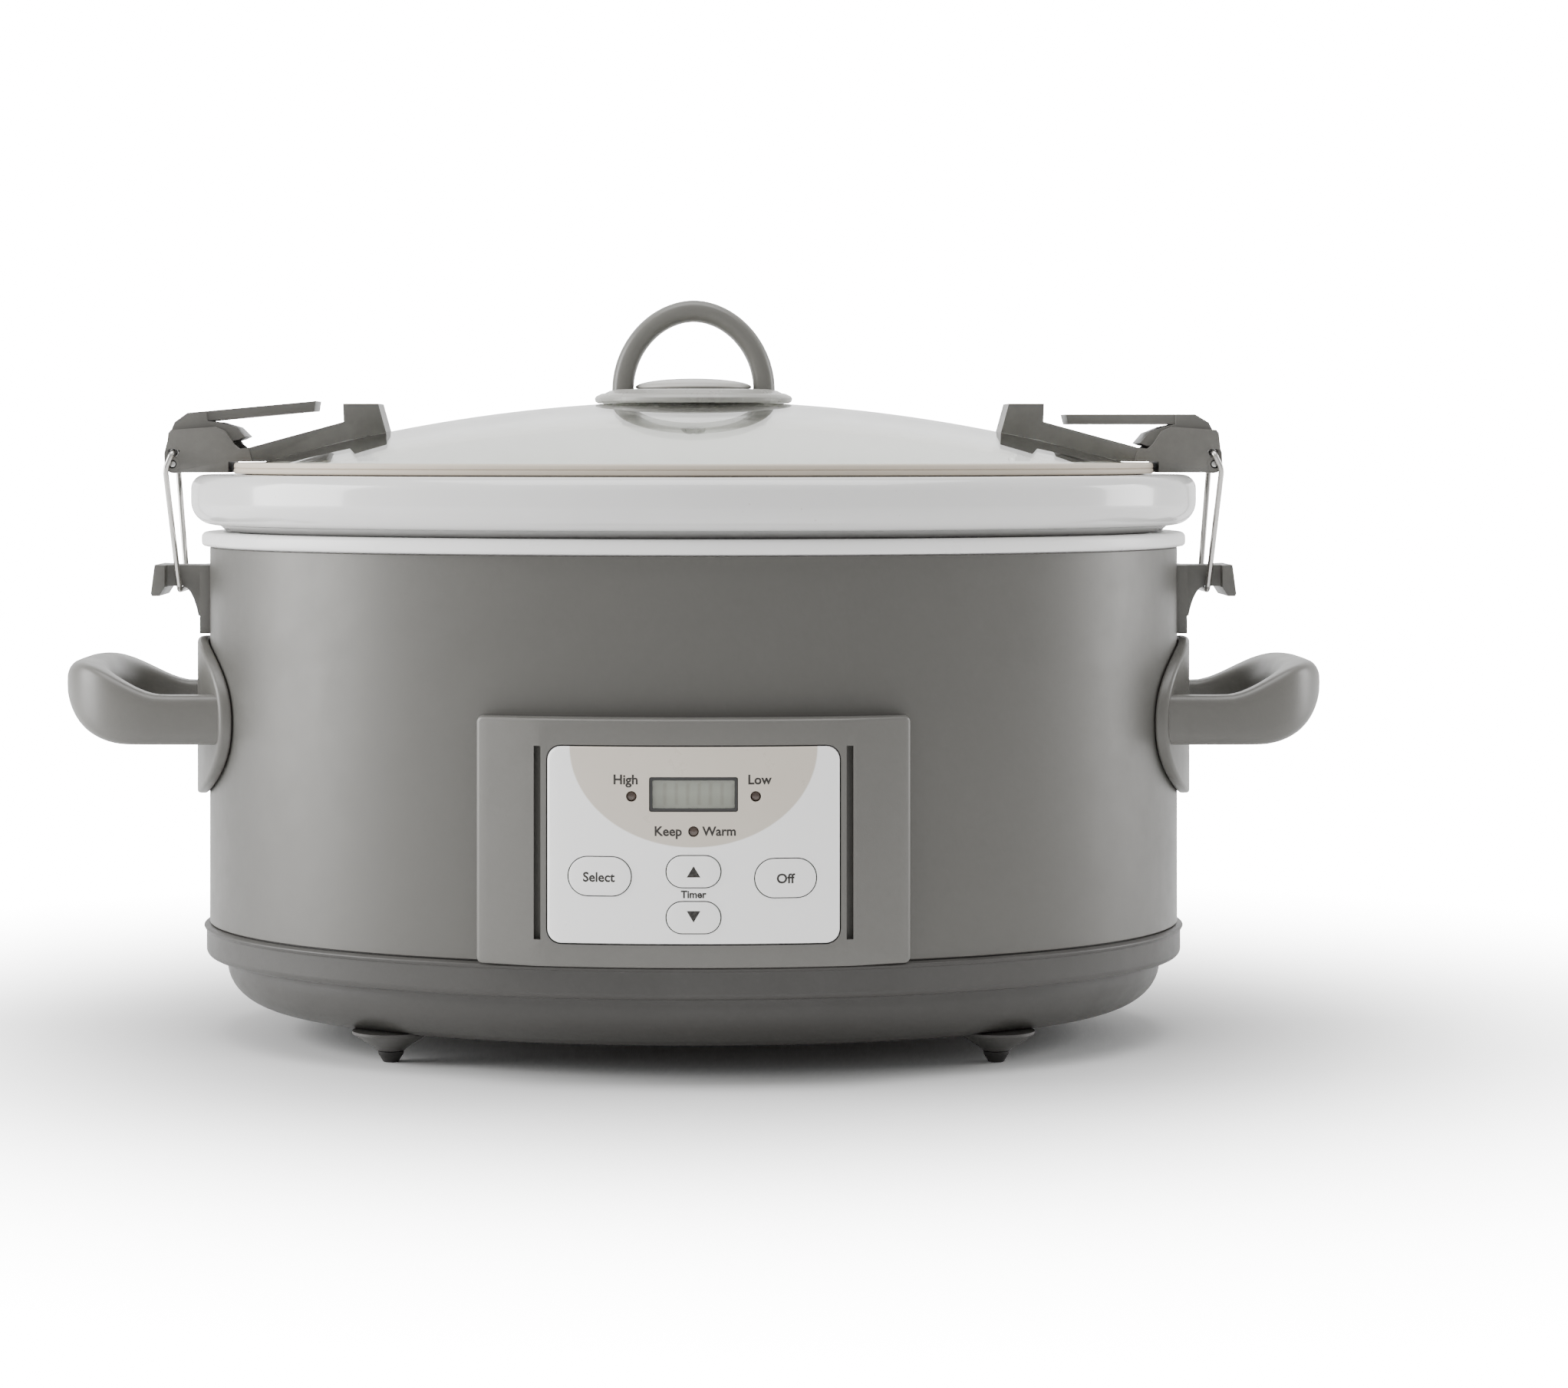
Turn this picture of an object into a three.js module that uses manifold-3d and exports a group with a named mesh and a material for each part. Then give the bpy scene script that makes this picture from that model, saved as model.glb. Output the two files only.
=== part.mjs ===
// Oval six-quart slow cooker with a stoneware crock, a glass lid and two wire-bail lid latches.
// Millimetres, +Z up. The origin is on the surface it stands on, below the middle of the oval.
// The front, with its control panel, faces -Y. The long way of the oval lies along X.
import * as THREE from "three";
import { mergeVertices } from "three/addons/utils/BufferGeometryUtils.js";
import Module from "manifold-3d";

const wasm = await Module();
wasm.setup();

// ---------------------------------------------------------------- driving dimensions

const GAP = 0.3; // clearance between pieces that touch or seat on each other
const OVAL_SEGMENTS = 40;

// The oval of the painted can
const CAN_HALF_WIDTH = 155;
const CAN_HALF_DEPTH = 120;
const CAN_WALL = 0.8;
const CAN_TOP = 155;

// Feet, base pan and its lip
const FOOT_INSET_X = 63; // from the end of the can to the middle of a foot
const FOOT_INSET_Y = 48; // from the front of the can to the middle of a foot
const FOOT_HEIGHT = 3.3;
const FOOT_TOP_RADIUS = 4;
const FOOT_TIP_RADIUS = 2.5;
const PEDESTAL_RADIUS = 11.75;
const BASE_FLOOR = 8.6;
const BASE_WALL = 2.4;
const BOWL_INSET = 5.7; // the bowl stands back from the face of the can
const BOWL_CORNER_WIDTH = 18;
const BOWL_CORNER_HEIGHT = 14;
const LIP_BOTTOM = 25;
const LIP_TOP = 35.3;
const LIP_PROUD = 1;
const LIP_RIDGE = 0.8;
const SPIGOT_HEIGHT = 5;
const SPIGOT_WALL = 1.8;

// Collar band round the top of the can
const COLLAR_HEIGHT = 4.5;
const COLLAR_PROUD = 2.6;
const COLLAR_SKIRT = 5;

// Heating well
const WELL_FLOOR = 31;
const WELL_SHEET = 1;
const WELL_MOUTH_INSET = 9; // from the face of the can to the inner wall of the well
const WELL_TAPER = 5;
const WELL_CORNER = 14;
const WELL_FLANGE = 4.2;

// Stoneware crock
const CROCK_CLEARANCE = 3; // to the wall of the well
const CROCK_WALL = 7.5;
const CROCK_FLOOR = 8;
const CROCK_FOOT_ROUND = 14;
const CROCK_INSIDE_ROUND = 22;
const RIM_PROUD = 6;
const RIM_GAP = 2.2; // from the top of the collar to the underside of the rim
const RIM_HEIGHT = 16;
const RIM_MOUTH_INSET = 12.5; // from the face of the can to the mouth of the crock
const RIM_TOP_ROUND = 4.5;
const RIM_BOTTOM_ROUND = 7.5;

// Lid
const GASKET_HEIGHT = 3.8;
const GASKET_INSET = 7.5; // from the face of the can
const GASKET_GRIP = 2.8;
const GLASS_INSET = 14.7; // from the face of the can to the edge of the glass
const GLASS_THICKNESS = 4;
const DOME_RISE = 19.7; // from the top of the gasket to the top of the glass
const DOME_SAG = 20.293; // from the top of the glass down to its edge
const LID_SCREW_HOLE = 2.4; // radius of the glass's hole under each latch

// Lid handle
const DISC_RADIUS = 31.8;
const DISC_RISE = 3.7; // above the top of the glass
const DISC_DEPTH = 5.6;
const ARCH_HALF_WIDTH = 26.2;
const ARCH_HEIGHT = 28.7;
const ARCH_SUNK = 2.4; // how far the arch's legs run down into the disc
const ARCH_THICKNESS = 7;
const ARCH_DEPTH = 15;
const ARCH_ROUNDNESS = 1.75; // exponent of the arch's curve: 2 is an ellipse
const CAP_HEIGHT = 3.6;
const WASHER_RADIUS = 24;
const WASHER_DEPTH = 2.6;
const HANDLE_SCREW_RADIUS = 2;

// Latches. Heights are from the lever's pivot, and reaches are inward from it.
const PIVOT_PROUD = 10.9; // out from the end of the can
const PIVOT_RISE = 3.3; // above the rim of the crock
const BAIL_PIVOT_OFFSET = 3.63;
const BAIL_PIVOT_ANGLE = 97.9; // degrees up from outward, seen from the front on the right side
const LEVER_PIN_RADIUS = 1.1;
const CHEEK_INNER = 11.8;
const CHEEK_THICKNESS = 2.8;
const CHEEK_RISE = 11.9;
const BOSS_RADIUS = 2.4;
const ARM_HALF_WIDTH = 12;
const BLOCK_RISE = 19.3;
const BLOCK_REACH = 54.1;
const BLOCK_LENGTH = 13.8;
const STRIP_REACH = 46.9;
const STRIP_RISE = 15.9;
const STRIP_THICKNESS = 3.2;
const STRIP_HALF_WIDTH = 10;
const LEFT_LEVER_TILT = 5.3; // degrees that each closed lever still stands open
const RIGHT_LEVER_TILT = 0;
const SLEEVE_RADIUS = 1.5;
const BAIL_RADIUS = 0.9;
const BAIL_TOP_HALF_WIDTH = 16.6;
const BAIL_BAR_HALF_WIDTH = 10.2;
const BAIL_BAR_PROUD = 9.1; // out from the end of the can
const LATCH_SCREW_REACH = 60.9;

// Hook brackets on the ends of the can, measured down from its top edge
const HOOK_DROP = 6;
const HOOK_HEIGHT = 21.8;
const HOOK_ARM_HEIGHT = 6.7;
const HOOK_PLATE = 3.4;
const HOOK_PLATE_HALF_WIDTH = 11;
const HOOK_ARM_HALF_WIDTH = 7.6;
const HOOK_REACH = 13.6;
const TAB_HALF_WIDTH = 13;
const TAB_THICKNESS = 4;
const TAB_LIP = 3.1; // how far the tab hangs below the arm

// Side handles
const PLATE_THICKNESS = 3.6;
const PLATE_HALF_WIDTH = 47;
const PLATE_BOTTOM = 76;
const PLATE_TOP = 126;
const GRIP_PROUD = 44.5; // out from the end of the can
const GRIP_HALF_WIDTH = 45.5;
const GRIP_LEG = 10.5;
const GRIP_BAR = 14;
const GRIP_BOTTOM = 94;
const GRIP_LEG_TOP = 109.5;
const GRIP_END_TOP = 119.4;
const GRIP_STRAIGHT = 8; // out from the can to where the grip's bend starts
const GRIP_SWEEP = 23.5; // length of the swept underside
const GRIP_NOSE = 6.4; // from the top of the end down to its foremost point
const GRIP_ROOT = 20; // how far the grip is drawn into the can before it is cut to the can's face

// Control panel
const BEZEL_HALF_WIDTH = 63.5;
const BEZEL_BOTTOM = 35.9;
const BEZEL_TOP = 108;
const BEZEL_DEPTH = 11;
const BEZEL_WALL = 2.5;
const FASCIA_HALF_WIDTH = 42.5;
const FASCIA_BOTTOM = 42.9;
const FASCIA_TOP = 100.1;
const FASCIA_CORNER = 4;
const FASCIA_THICKNESS = 2;
const FASCIA_PROUD = 0.5;
const FASCIA_LEDGE = 2.6;
const SLOT_OFFSET = 45.5;
const SLOT_WIDTH = 2;
const SLOT_BOTTOM = 43.7;
const SLOT_TOP = 100;
const DISPLAY_WIDTH = 25.8;
const DISPLAY_HEIGHT = 10.1;
const DISPLAY_MIDDLE = 86.3;
const DISPLAY_DEPTH = 3.6;
const BUTTON_PROUD = 0.5;
const BUTTON_BACK_PROUD = 6; // out from the front of the can to the back of a button
const LIGHT_RADIUS = 1.4;
const BOARD_PROUD = 4.6; // out from the front of the can to the face of the board
const BOARD_THICKNESS = 1.6;
const BOARD_HALF_WIDTH = 37;
const BOARD_MARGIN = 3.2; // the board is this much shorter than the fascia at each end

const BUTTONS = {
  select_button: { x: -27.2, z: 62.5, width: 18.1, height: 11.1 },
  up_button: { x: 0, z: 64, width: 15.6, height: 9 },
  down_button: { x: 0, z: 50.7, width: 15.6, height: 9 },
  off_button: { x: 26.7, z: 62, width: 17.7, height: 11.1 },
};
const LIGHTS = {
  high_light: { x: -18, z: 85.7 },
  low_light: { x: 18, z: 85.7 },
  warm_light: { x: 0, z: 75.6 },
};

// Inside the base and the wall
const BAND_BOTTOM = 48;
const BAND_HEIGHT = 38;
const BAND_THICKNESS = 1.8;
const BAND_OPENING = 16;
const SENSOR_RADIUS = 10;
const SENSOR_HEIGHT = 6.7;
const SPRING_RADIUS = 7;
const SPRING_WIRE = 0.6;
const SPRING_TURNS = 4;
const CLAMP_OFFSET = 72; // from the middle to each screw that holds the base on
const CLAMP_BOSS_HEIGHT = 7.1;
const POWER_BOARD = { x: -28, y: -46, length: 66, width: 46, thickness: 1.6 };
const POWER_BOARD_HEIGHT = 18;
const COMPONENT_HEIGHT = 10;
const GLAND_HEIGHT = 52;
const GLAND_PROUD = 9; // out from the rear of the can
const GLAND_RADIUS = 7.5;
const GLAND_FLANGE_RADIUS = 11;
const CORD_HOLE_RADIUS = 4;

// Screws that hold the side handles and hooks from inside the can
const WALL_SCREW_RADIUS = 1.5;
const WALL_SCREW_HEAD = 3.2;
const WALL_SCREW_HEAD_THICKNESS = 1.8;
const HANDLE_SCREW_HEIGHTS = { lower: 83.5, upper: 118.5 };
const HOOK_SCREW_DROP = 12; // below the top of the hook's plate

// ---------------------------------------------------------------- derived places

const OVAL_DIFFERENCE = CAN_HALF_WIDTH - CAN_HALF_DEPTH;
const FULL_OVAL_RADIUS = 90; // outside this radius a wall keeps one thickness all round
const FOOT_X = CAN_HALF_WIDTH - FOOT_INSET_X;
const FOOT_Y = CAN_HALF_DEPTH - FOOT_INSET_Y;
const CLAMP_SEAM = BASE_FLOOR + CLAMP_BOSS_HEIGHT;
const CAN_BOTTOM = LIP_TOP + GAP;
const COLLAR_BOTTOM = CAN_TOP + GAP;
const COLLAR_TOP = COLLAR_BOTTOM + COLLAR_HEIGHT;
const WELL_MOUTH = CAN_HALF_WIDTH - WELL_MOUTH_INSET;
const WELL_RIM = COLLAR_TOP - 1;
const CROCK_BOTTOM = WELL_FLOOR + WELL_SHEET + 2;
const RIM_BOTTOM = COLLAR_TOP + RIM_GAP;
const RIM_TOP = RIM_BOTTOM + RIM_HEIGHT;
const GASKET_FACE = CAN_HALF_WIDTH - GASKET_INSET;
const GASKET_BOTTOM = RIM_TOP + GAP;
const GASKET_TOP = GASKET_BOTTOM + GASKET_HEIGHT - GAP;
const GLASS_RADIUS = CAN_HALF_WIDTH - GLASS_INSET;
const DOME_TOP = GASKET_TOP + DOME_RISE;
const DISC_TOP = DOME_TOP + DISC_RISE;
const ABOVE_LID = DISC_TOP + ARCH_HEIGHT + 30;
const BEZEL_FACE = CAN_HALF_WIDTH + BEZEL_DEPTH;
const FASCIA_FACE = BEZEL_FACE + FASCIA_PROUD;
const BUTTON_FACE = FASCIA_FACE + BUTTON_PROUD;
const BUTTON_BACK = CAN_HALF_DEPTH + BUTTON_BACK_PROUD;
const BOARD_FRONT = CAN_HALF_DEPTH + BOARD_PROUD;
const GLAND_REACH = CAN_HALF_DEPTH + GLAND_PROUD;
const GRIP_REACH = CAN_HALF_WIDTH + GRIP_PROUD;
const LEVER_PIVOT_OUT = CAN_HALF_WIDTH + PIVOT_PROUD;
const LEVER_PIVOT_UP = RIM_TOP + PIVOT_RISE;
const CHEEK_TOP = LEVER_PIVOT_UP + CHEEK_RISE;
const CHEEK_OUTER = CHEEK_INNER + CHEEK_THICKNESS;
const LATCH_FOOT = RIM_TOP + 2 * GAP;
const LATCH_INNER = GASKET_FACE + 2 * GAP;
const OVER_GASKET = GASKET_TOP + GAP;
const BLOCK_TOP = LEVER_PIVOT_UP + BLOCK_RISE;
const BLOCK_OUT = LEVER_PIVOT_OUT - BLOCK_REACH;
const BLOCK_IN = BLOCK_OUT - BLOCK_LENGTH;
const STRIP_TOP = LEVER_PIVOT_UP + STRIP_RISE;
const STRIP_TIP = LEVER_PIVOT_OUT - STRIP_REACH;
const LATCH_SCREW_OUT = LEVER_PIVOT_OUT - LATCH_SCREW_REACH;
const HOOK_TOP = CAN_TOP - HOOK_DROP;
const HOOK_BOTTOM = HOOK_TOP - HOOK_HEIGHT;
const HOOK_UNDERSIDE = HOOK_TOP - HOOK_ARM_HEIGHT;
const HOOK_SCREW_HEIGHT = HOOK_TOP - HOOK_SCREW_DROP;
const TAB_BOTTOM = HOOK_UNDERSIDE - TAB_LIP;
const BAIL_BAR_OUT = CAN_HALF_WIDTH + BAIL_BAR_PROUD;
const BAIL_BAR_UP = HOOK_UNDERSIDE - GAP - BAIL_RADIUS;
const BEYOND = 400; // longer than any piece, for cutting right through

// ---------------------------------------------------------------- shape helpers

const radians = THREE.MathUtils.degToRad;

function bareMesh(geometry) {
  const bare = geometry.clone();
  bare.deleteAttribute("normal");
  bare.deleteAttribute("uv");
  const merged = mergeVertices(bare, 1e-4);
  const index = [];
  for (let i = 0; i < merged.index.count; i += 3) {
    const [a, b, c] = [0, 1, 2].map((k) => merged.index.getX(i + k));
    if (a !== b && b !== c && c !== a) index.push(a, b, c);
  }
  return { points: merged.attributes.position.array, index };
}

function signedVolume({ points, index }) {
  const corner = (i) => new THREE.Vector3().fromArray(points, 3 * index[i]);
  let volume = 0;
  for (let i = 0; i < index.length; i += 3) {
    volume += corner(i).dot(corner(i + 1).cross(corner(i + 2))) / 6;
  }
  return volume;
}

// A closed geometry as a solid for joining and cutting, with its faces turned outward.
function solid(geometry) {
  const mesh = bareMesh(geometry);
  if (signedVolume(mesh) < 0) mesh.index.reverse();
  return new wasm.Manifold(
    new wasm.Mesh({
      numProp: 3,
      vertProperties: new Float32Array(mesh.points),
      triVerts: new Uint32Array(mesh.index),
    }),
  );
}

function joined(...solids) {
  return solids.reduce((whole, next) => whole.add(next));
}

function cut(body, ...tools) {
  return tools.reduce((left, tool) => left.subtract(tool), body);
}

function arc(centreX, centreY, radiusX, radiusY, from, to, steps) {
  const points = [];
  for (let i = 0; i <= steps; i += 1) {
    const angle = radians(from + ((to - from) * i) / steps);
    points.push([centreX + radiusX * Math.cos(angle), centreY + radiusY * Math.sin(angle)]);
  }
  return points;
}

// The depth of an even wall: every oval differs from its width by the same amount.
function evenWall(radius) {
  return radius - OVAL_DIFFERENCE * Math.min(1, radius / FULL_OVAL_RADIUS);
}

// The depth of the dome, which keeps the proportions of the glass's edge.
function evenDome(radius) {
  return (radius * (GLASS_RADIUS - OVAL_DIFFERENCE)) / GLASS_RADIUS;
}

function turned(profile, depthOf = (radius) => radius, segments = OVAL_SEGMENTS) {
  const outline = profile.map(([radius, height]) => new THREE.Vector2(radius, height));
  const geometry = new THREE.LatheGeometry(outline, segments);
  geometry.rotateX(Math.PI / 2);
  const position = geometry.attributes.position;
  for (let i = 0; i < position.count; i += 1) {
    const radius = Math.hypot(position.getX(i), position.getY(i));
    if (radius > 1e-6) position.setY(i, (position.getY(i) * depthOf(radius)) / radius);
  }
  return solid(geometry);
}

// An oval ring or bowl; a profile that doesn't touch the axis is closed on itself.
function ovalTurned(profile, depthOf = evenWall) {
  const touchesAxis = profile[0][0] === 0 && profile.at(-1)[0] === 0;
  return turned(touchesAxis ? profile : [...profile, profile[0]], depthOf);
}

function ovalBlock(radius, bottom, top) {
  return ovalTurned([[0, bottom], [radius, bottom], [radius, top], [0, top]]);
}

function ovalShell(inner, outer, bottom, top) {
  return ovalTurned([[inner, bottom], [outer, bottom], [outer, top], [inner, top]]);
}

function box(x0, x1, y0, y1, z0, z1) {
  const geometry = new THREE.BoxGeometry(x1 - x0, y1 - y0, z1 - z0);
  return solid(geometry.translate((x0 + x1) / 2, (y0 + y1) / 2, (z0 + z1) / 2));
}

function shapeOf(points) {
  return new THREE.Shape(points.map(([x, y]) => new THREE.Vector2(x, y)));
}

// An outline in X and Z, given thickness along Y.
function slabAcross(points, y0, y1) {
  const geometry = new THREE.ExtrudeGeometry(shapeOf(points), { depth: y1 - y0, bevelEnabled: false });
  return solid(geometry.rotateX(Math.PI / 2).translate(0, y1, 0));
}

// An outline in X and Y, given height along Z.
function slabUp(points, z0, z1) {
  const geometry = new THREE.ExtrudeGeometry(shapeOf(points), { depth: z1 - z0, bevelEnabled: false });
  return solid(geometry.translate(0, 0, z0));
}

// An outline in Y and Z, given length along X.
function slabAlong(points, x0, x1) {
  const geometry = new THREE.ExtrudeGeometry(shapeOf(points), { depth: x1 - x0, bevelEnabled: false });
  geometry.rotateX(Math.PI / 2).rotateZ(Math.PI / 2);
  return solid(geometry.translate(x0, 0, 0));
}

function rod(radius, from, to, sides = 12) {
  const start = new THREE.Vector3(...from);
  const end = new THREE.Vector3(...to);
  const geometry = new THREE.CylinderGeometry(radius, radius, start.distanceTo(end), sides);
  const along = end.clone().sub(start).normalize();
  geometry.applyQuaternion(new THREE.Quaternion().setFromUnitVectors(new THREE.Vector3(0, 1, 0), along));
  return solid(geometry.translate(...start.add(end).multiplyScalar(0.5).toArray()));
}

function roundedOutline(x, z, width, height, corner, steps = 3) {
  const [right, top] = [width / 2 - corner, height / 2 - corner];
  const corners = [[right, top, 0], [-right, top, 90], [-right, -top, 180], [right, -top, 270]];
  return corners.flatMap(([cx, cz, turn]) =>
    arc(x + cx, z + cz, corner, corner, turn, turn + 90, steps),
  );
}

function superellipse(halfWidth, halfHeight, exponent, from, to, steps) {
  return arc(0, 0, 1, 1, from, to, steps).map(([c, s]) => [
    Math.sign(c) * halfWidth * Math.abs(c) ** (2 / exponent),
    Math.sign(s) * halfHeight * Math.abs(s) ** (2 / exponent),
  ]);
}

function mirrored(body) {
  return body.mirror([1, 0, 0]);
}

// ---------------------------------------------------------------- materials

function finish(color, roughness, metalness, extra = {}) {
  return new THREE.MeshStandardMaterial({ color, roughness, metalness, ...extra });
}

const paintedSteel = () => finish(0x86837d, 0.45, 0.25);
const basePlastic = () => finish(0x66655f, 0.5, 0);
const greyPlastic = () => finish(0x76756f, 0.42, 0);
const paleGreyPlastic = () => finish(0xb9b7b2, 0.35, 0);
const whitePlastic = () => finish(0xe8e8e8, 0.4, 0);
const stoneware = () => finish(0xe2e3e3, 0.15, 0);
const clearGlass = () => finish(0xe4e8e2, 0.03, 0, { transparent: true, opacity: 0.35 });
const tanSilicone = () => finish(0xc9bfb2, 0.6, 0);
const aluminisedSteel = () => finish(0xa9abad, 0.35, 0.9);
const springSteel = () => finish(0xa49a8f, 0.3, 0.9);
const zincSteel = () => finish(0xb5b5b2, 0.35, 0.9);
const blackRubber = () => finish(0x1d1d1c, 0.85, 0);
const circuitBoard = () => finish(0x2f6a45, 0.5, 0);
const blackPlastic = () => finish(0x222222, 0.5, 0);
const displayGlass = () => finish(0xa9ab9f, 0.25, 0);
const lampPlastic = () => finish(0x7a4038, 0.2, 0);
const heaterMica = () => finish(0xb59a63, 0.7, 0);

// ---------------------------------------------------------------- base and can

function wellRadius(height) {
  const share = (WELL_RIM - height) / (WELL_RIM - WELL_FLOOR);
  return WELL_MOUTH - WELL_TAPER * share;
}

function basePan() {
  const bowl = CAN_HALF_WIDTH - BOWL_INSET;
  const lip = CAN_HALF_WIDTH + LIP_PROUD;
  const spigot = CAN_HALF_WIDTH - CAN_WALL - GAP;
  const inside = spigot - SPIGOT_WALL;
  const cornerFoot = bowl - BOWL_CORNER_WIDTH;
  const cornerTop = BASE_FLOOR + BOWL_CORNER_HEIGHT;
  const shell = ovalTurned([
    [0, BASE_FLOOR],
    ...arc(cornerFoot, cornerTop, BOWL_CORNER_WIDTH, BOWL_CORNER_HEIGHT, 270, 360, 4),
    [bowl, LIP_BOTTOM],
    [lip - 2.5, LIP_BOTTOM],
    [lip, LIP_BOTTOM + 2.2],
    [lip, LIP_TOP - 1.3],
    [lip + LIP_RIDGE, LIP_TOP - 0.9],
    [lip + LIP_RIDGE, LIP_TOP],
    [spigot, LIP_TOP],
    [spigot, LIP_TOP + SPIGOT_HEIGHT],
    [inside, LIP_TOP + SPIGOT_HEIGHT],
    [inside, LIP_BOTTOM + BASE_WALL],
    [bowl - BASE_WALL, LIP_BOTTOM + BASE_WALL],
    ...arc(
      cornerFoot, cornerTop, BOWL_CORNER_WIDTH - BASE_WALL, BOWL_CORNER_HEIGHT - BASE_WALL, 360, 270, 4,
    ),
    [0, BASE_FLOOR + BASE_WALL],
  ]);
  const pedestals = footPlaces().map(({ x, y }) =>
    turned([
      [0, FOOT_HEIGHT + GAP],
      [FOOT_TOP_RADIUS + 0.3, FOOT_HEIGHT + GAP],
      [PEDESTAL_RADIUS, BASE_FLOOR + 0.5],
      [0, BASE_FLOOR + 0.5],
    ], undefined, 14).translate([x, y, 0]),
  );
  const bosses = [-CLAMP_OFFSET, CLAMP_OFFSET].map((x) =>
    rod(7, [x, 0, BASE_FLOOR + 1], [x, 0, CLAMP_SEAM], 14),
  );
  const posts = boardCorners().map(([x, y]) =>
    rod(3, [x, y, BASE_FLOOR + 1], [x, y, POWER_BOARD_HEIGHT - GAP], 8),
  );
  const recesses = [-CLAMP_OFFSET, CLAMP_OFFSET].flatMap((x) => [
    rod(4.6, [x, 0, 0], [x, 0, BASE_FLOOR + 4.4], 14),
    rod(2.4, [x, 0, 0], [x, 0, BASE_FLOOR + 10], 10),
  ]);
  const vents = [-38, -26, 26, 38].map((x) =>
    box(x - 1.5, x + 1.5, 18, 48, 0, BASE_FLOOR + BASE_WALL + 1),
  );
  return cut(joined(shell, ...pedestals, ...bosses, ...posts), ...recesses, ...vents);
}

function footPlaces() {
  const places = [];
  for (const [end, y] of [["front", -FOOT_Y], ["rear", FOOT_Y]]) {
    places.push({ name: `foot_${end}_left`, x: -FOOT_X, y });
    places.push({ name: `foot_${end}_right`, x: FOOT_X, y });
  }
  return places;
}

function rubberFoot({ x, y }) {
  const profile = [[0, 0], [FOOT_TIP_RADIUS, 0], [FOOT_TOP_RADIUS, FOOT_HEIGHT - 0.8]];
  profile.push([FOOT_TOP_RADIUS, FOOT_HEIGHT], [0, FOOT_HEIGHT]);
  return turned(profile, undefined, 14).translate([x, y, 0]);
}

function baseScrew(x) {
  const head = BASE_FLOOR + 2;
  return joined(
    rod(4.1, [x, 0, head], [x, 0, head + 2.1]),
    rod(1.5, [x, 0, head + 2], [x, 0, WELL_FLOOR - 5]),
  );
}

function outerCan() {
  const shell = ovalShell(CAN_HALF_WIDTH - CAN_WALL, CAN_HALF_WIDTH, CAN_BOTTOM, CAN_TOP);
  const window = box(
    -BOARD_HALF_WIDTH - 1, BOARD_HALF_WIDTH + 1, -BEYOND, 0,
    FASCIA_BOTTOM + BOARD_MARGIN, FASCIA_TOP - BOARD_MARGIN,
  );
  const glandHole = rod(GLAND_RADIUS - 1.2, [0, 0, GLAND_HEIGHT], [0, BEYOND, GLAND_HEIGHT]);
  const screwHoles = wallScrewHeights().map((z) =>
    rod(WALL_SCREW_RADIUS + GAP, [-BEYOND, 0, z], [BEYOND, 0, z], 8),
  );
  return cut(shell, window, glandHole, ...screwHoles);
}

function wallScrewHeights() {
  return [...Object.values(HANDLE_SCREW_HEIGHTS), HOOK_SCREW_HEIGHT];
}

function topCollar() {
  const face = CAN_HALF_WIDTH + COLLAR_PROUD;
  const ledge = WELL_MOUTH + WELL_SHEET + GAP;
  const flangeEdge = WELL_MOUTH + WELL_FLANGE + GAP;
  const skirt = CAN_HALF_WIDTH - CAN_WALL - GAP;
  return ovalTurned([
    [face - 0.8, COLLAR_BOTTOM],
    [face, COLLAR_BOTTOM + 0.8],
    [face, COLLAR_TOP - 1.2],
    [face - 1.2, COLLAR_TOP],
    [flangeEdge, COLLAR_TOP],
    [flangeEdge, WELL_RIM - WELL_SHEET - GAP],
    [ledge, WELL_RIM - WELL_SHEET - GAP],
    [ledge + 2, COLLAR_BOTTOM - COLLAR_SKIRT],
    [skirt, COLLAR_BOTTOM - COLLAR_SKIRT],
    [skirt, COLLAR_BOTTOM],
  ]);
}

function heatingWell() {
  const corner = (offset, steps) =>
    arc(
      wellRadius(WELL_FLOOR + WELL_CORNER) - WELL_CORNER + WELL_SHEET,
      WELL_FLOOR + WELL_CORNER,
      WELL_CORNER - offset, WELL_CORNER - offset, 270, 360, steps,
    );
  const pan = ovalTurned([
    [0, WELL_FLOOR],
    ...corner(0, 3),
    [WELL_MOUTH + WELL_SHEET, WELL_RIM - WELL_SHEET],
    [WELL_MOUTH + WELL_FLANGE, WELL_RIM - WELL_SHEET],
    [WELL_MOUTH + WELL_FLANGE, WELL_RIM],
    [WELL_MOUTH, WELL_RIM],
    ...corner(WELL_SHEET, 3).reverse(),
    [0, WELL_FLOOR + WELL_SHEET],
  ]);
  const studs = [-CLAMP_OFFSET, CLAMP_OFFSET].map((x) =>
    rod(5, [x, 0, CLAMP_SEAM + GAP], [x, 0, WELL_FLOOR + 0.5], 10),
  );
  const bores = [-CLAMP_OFFSET, CLAMP_OFFSET].map((x) =>
    rod(1.9, [x, 0, 0], [x, 0, WELL_FLOOR - 3], 8),
  );
  const sensorHole = rod(SENSOR_RADIUS + 0.6, [0, 0, 0], [0, 0, WELL_FLOOR + 5], 16);
  return cut(joined(pan, ...studs), ...bores, sensorHole);
}

function heaterBand() {
  const inner = (z) => wellRadius(z) + WELL_SHEET + GAP + 0.2;
  const top = BAND_BOTTOM + BAND_HEIGHT;
  const band = ovalTurned([
    [inner(BAND_BOTTOM), BAND_BOTTOM],
    [inner(BAND_BOTTOM) + BAND_THICKNESS, BAND_BOTTOM],
    [inner(top) + BAND_THICKNESS, top],
    [inner(top), top],
  ]);
  return cut(band, box(-BAND_OPENING / 2, BAND_OPENING / 2, 0, BEYOND, 0, BEYOND));
}

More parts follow.
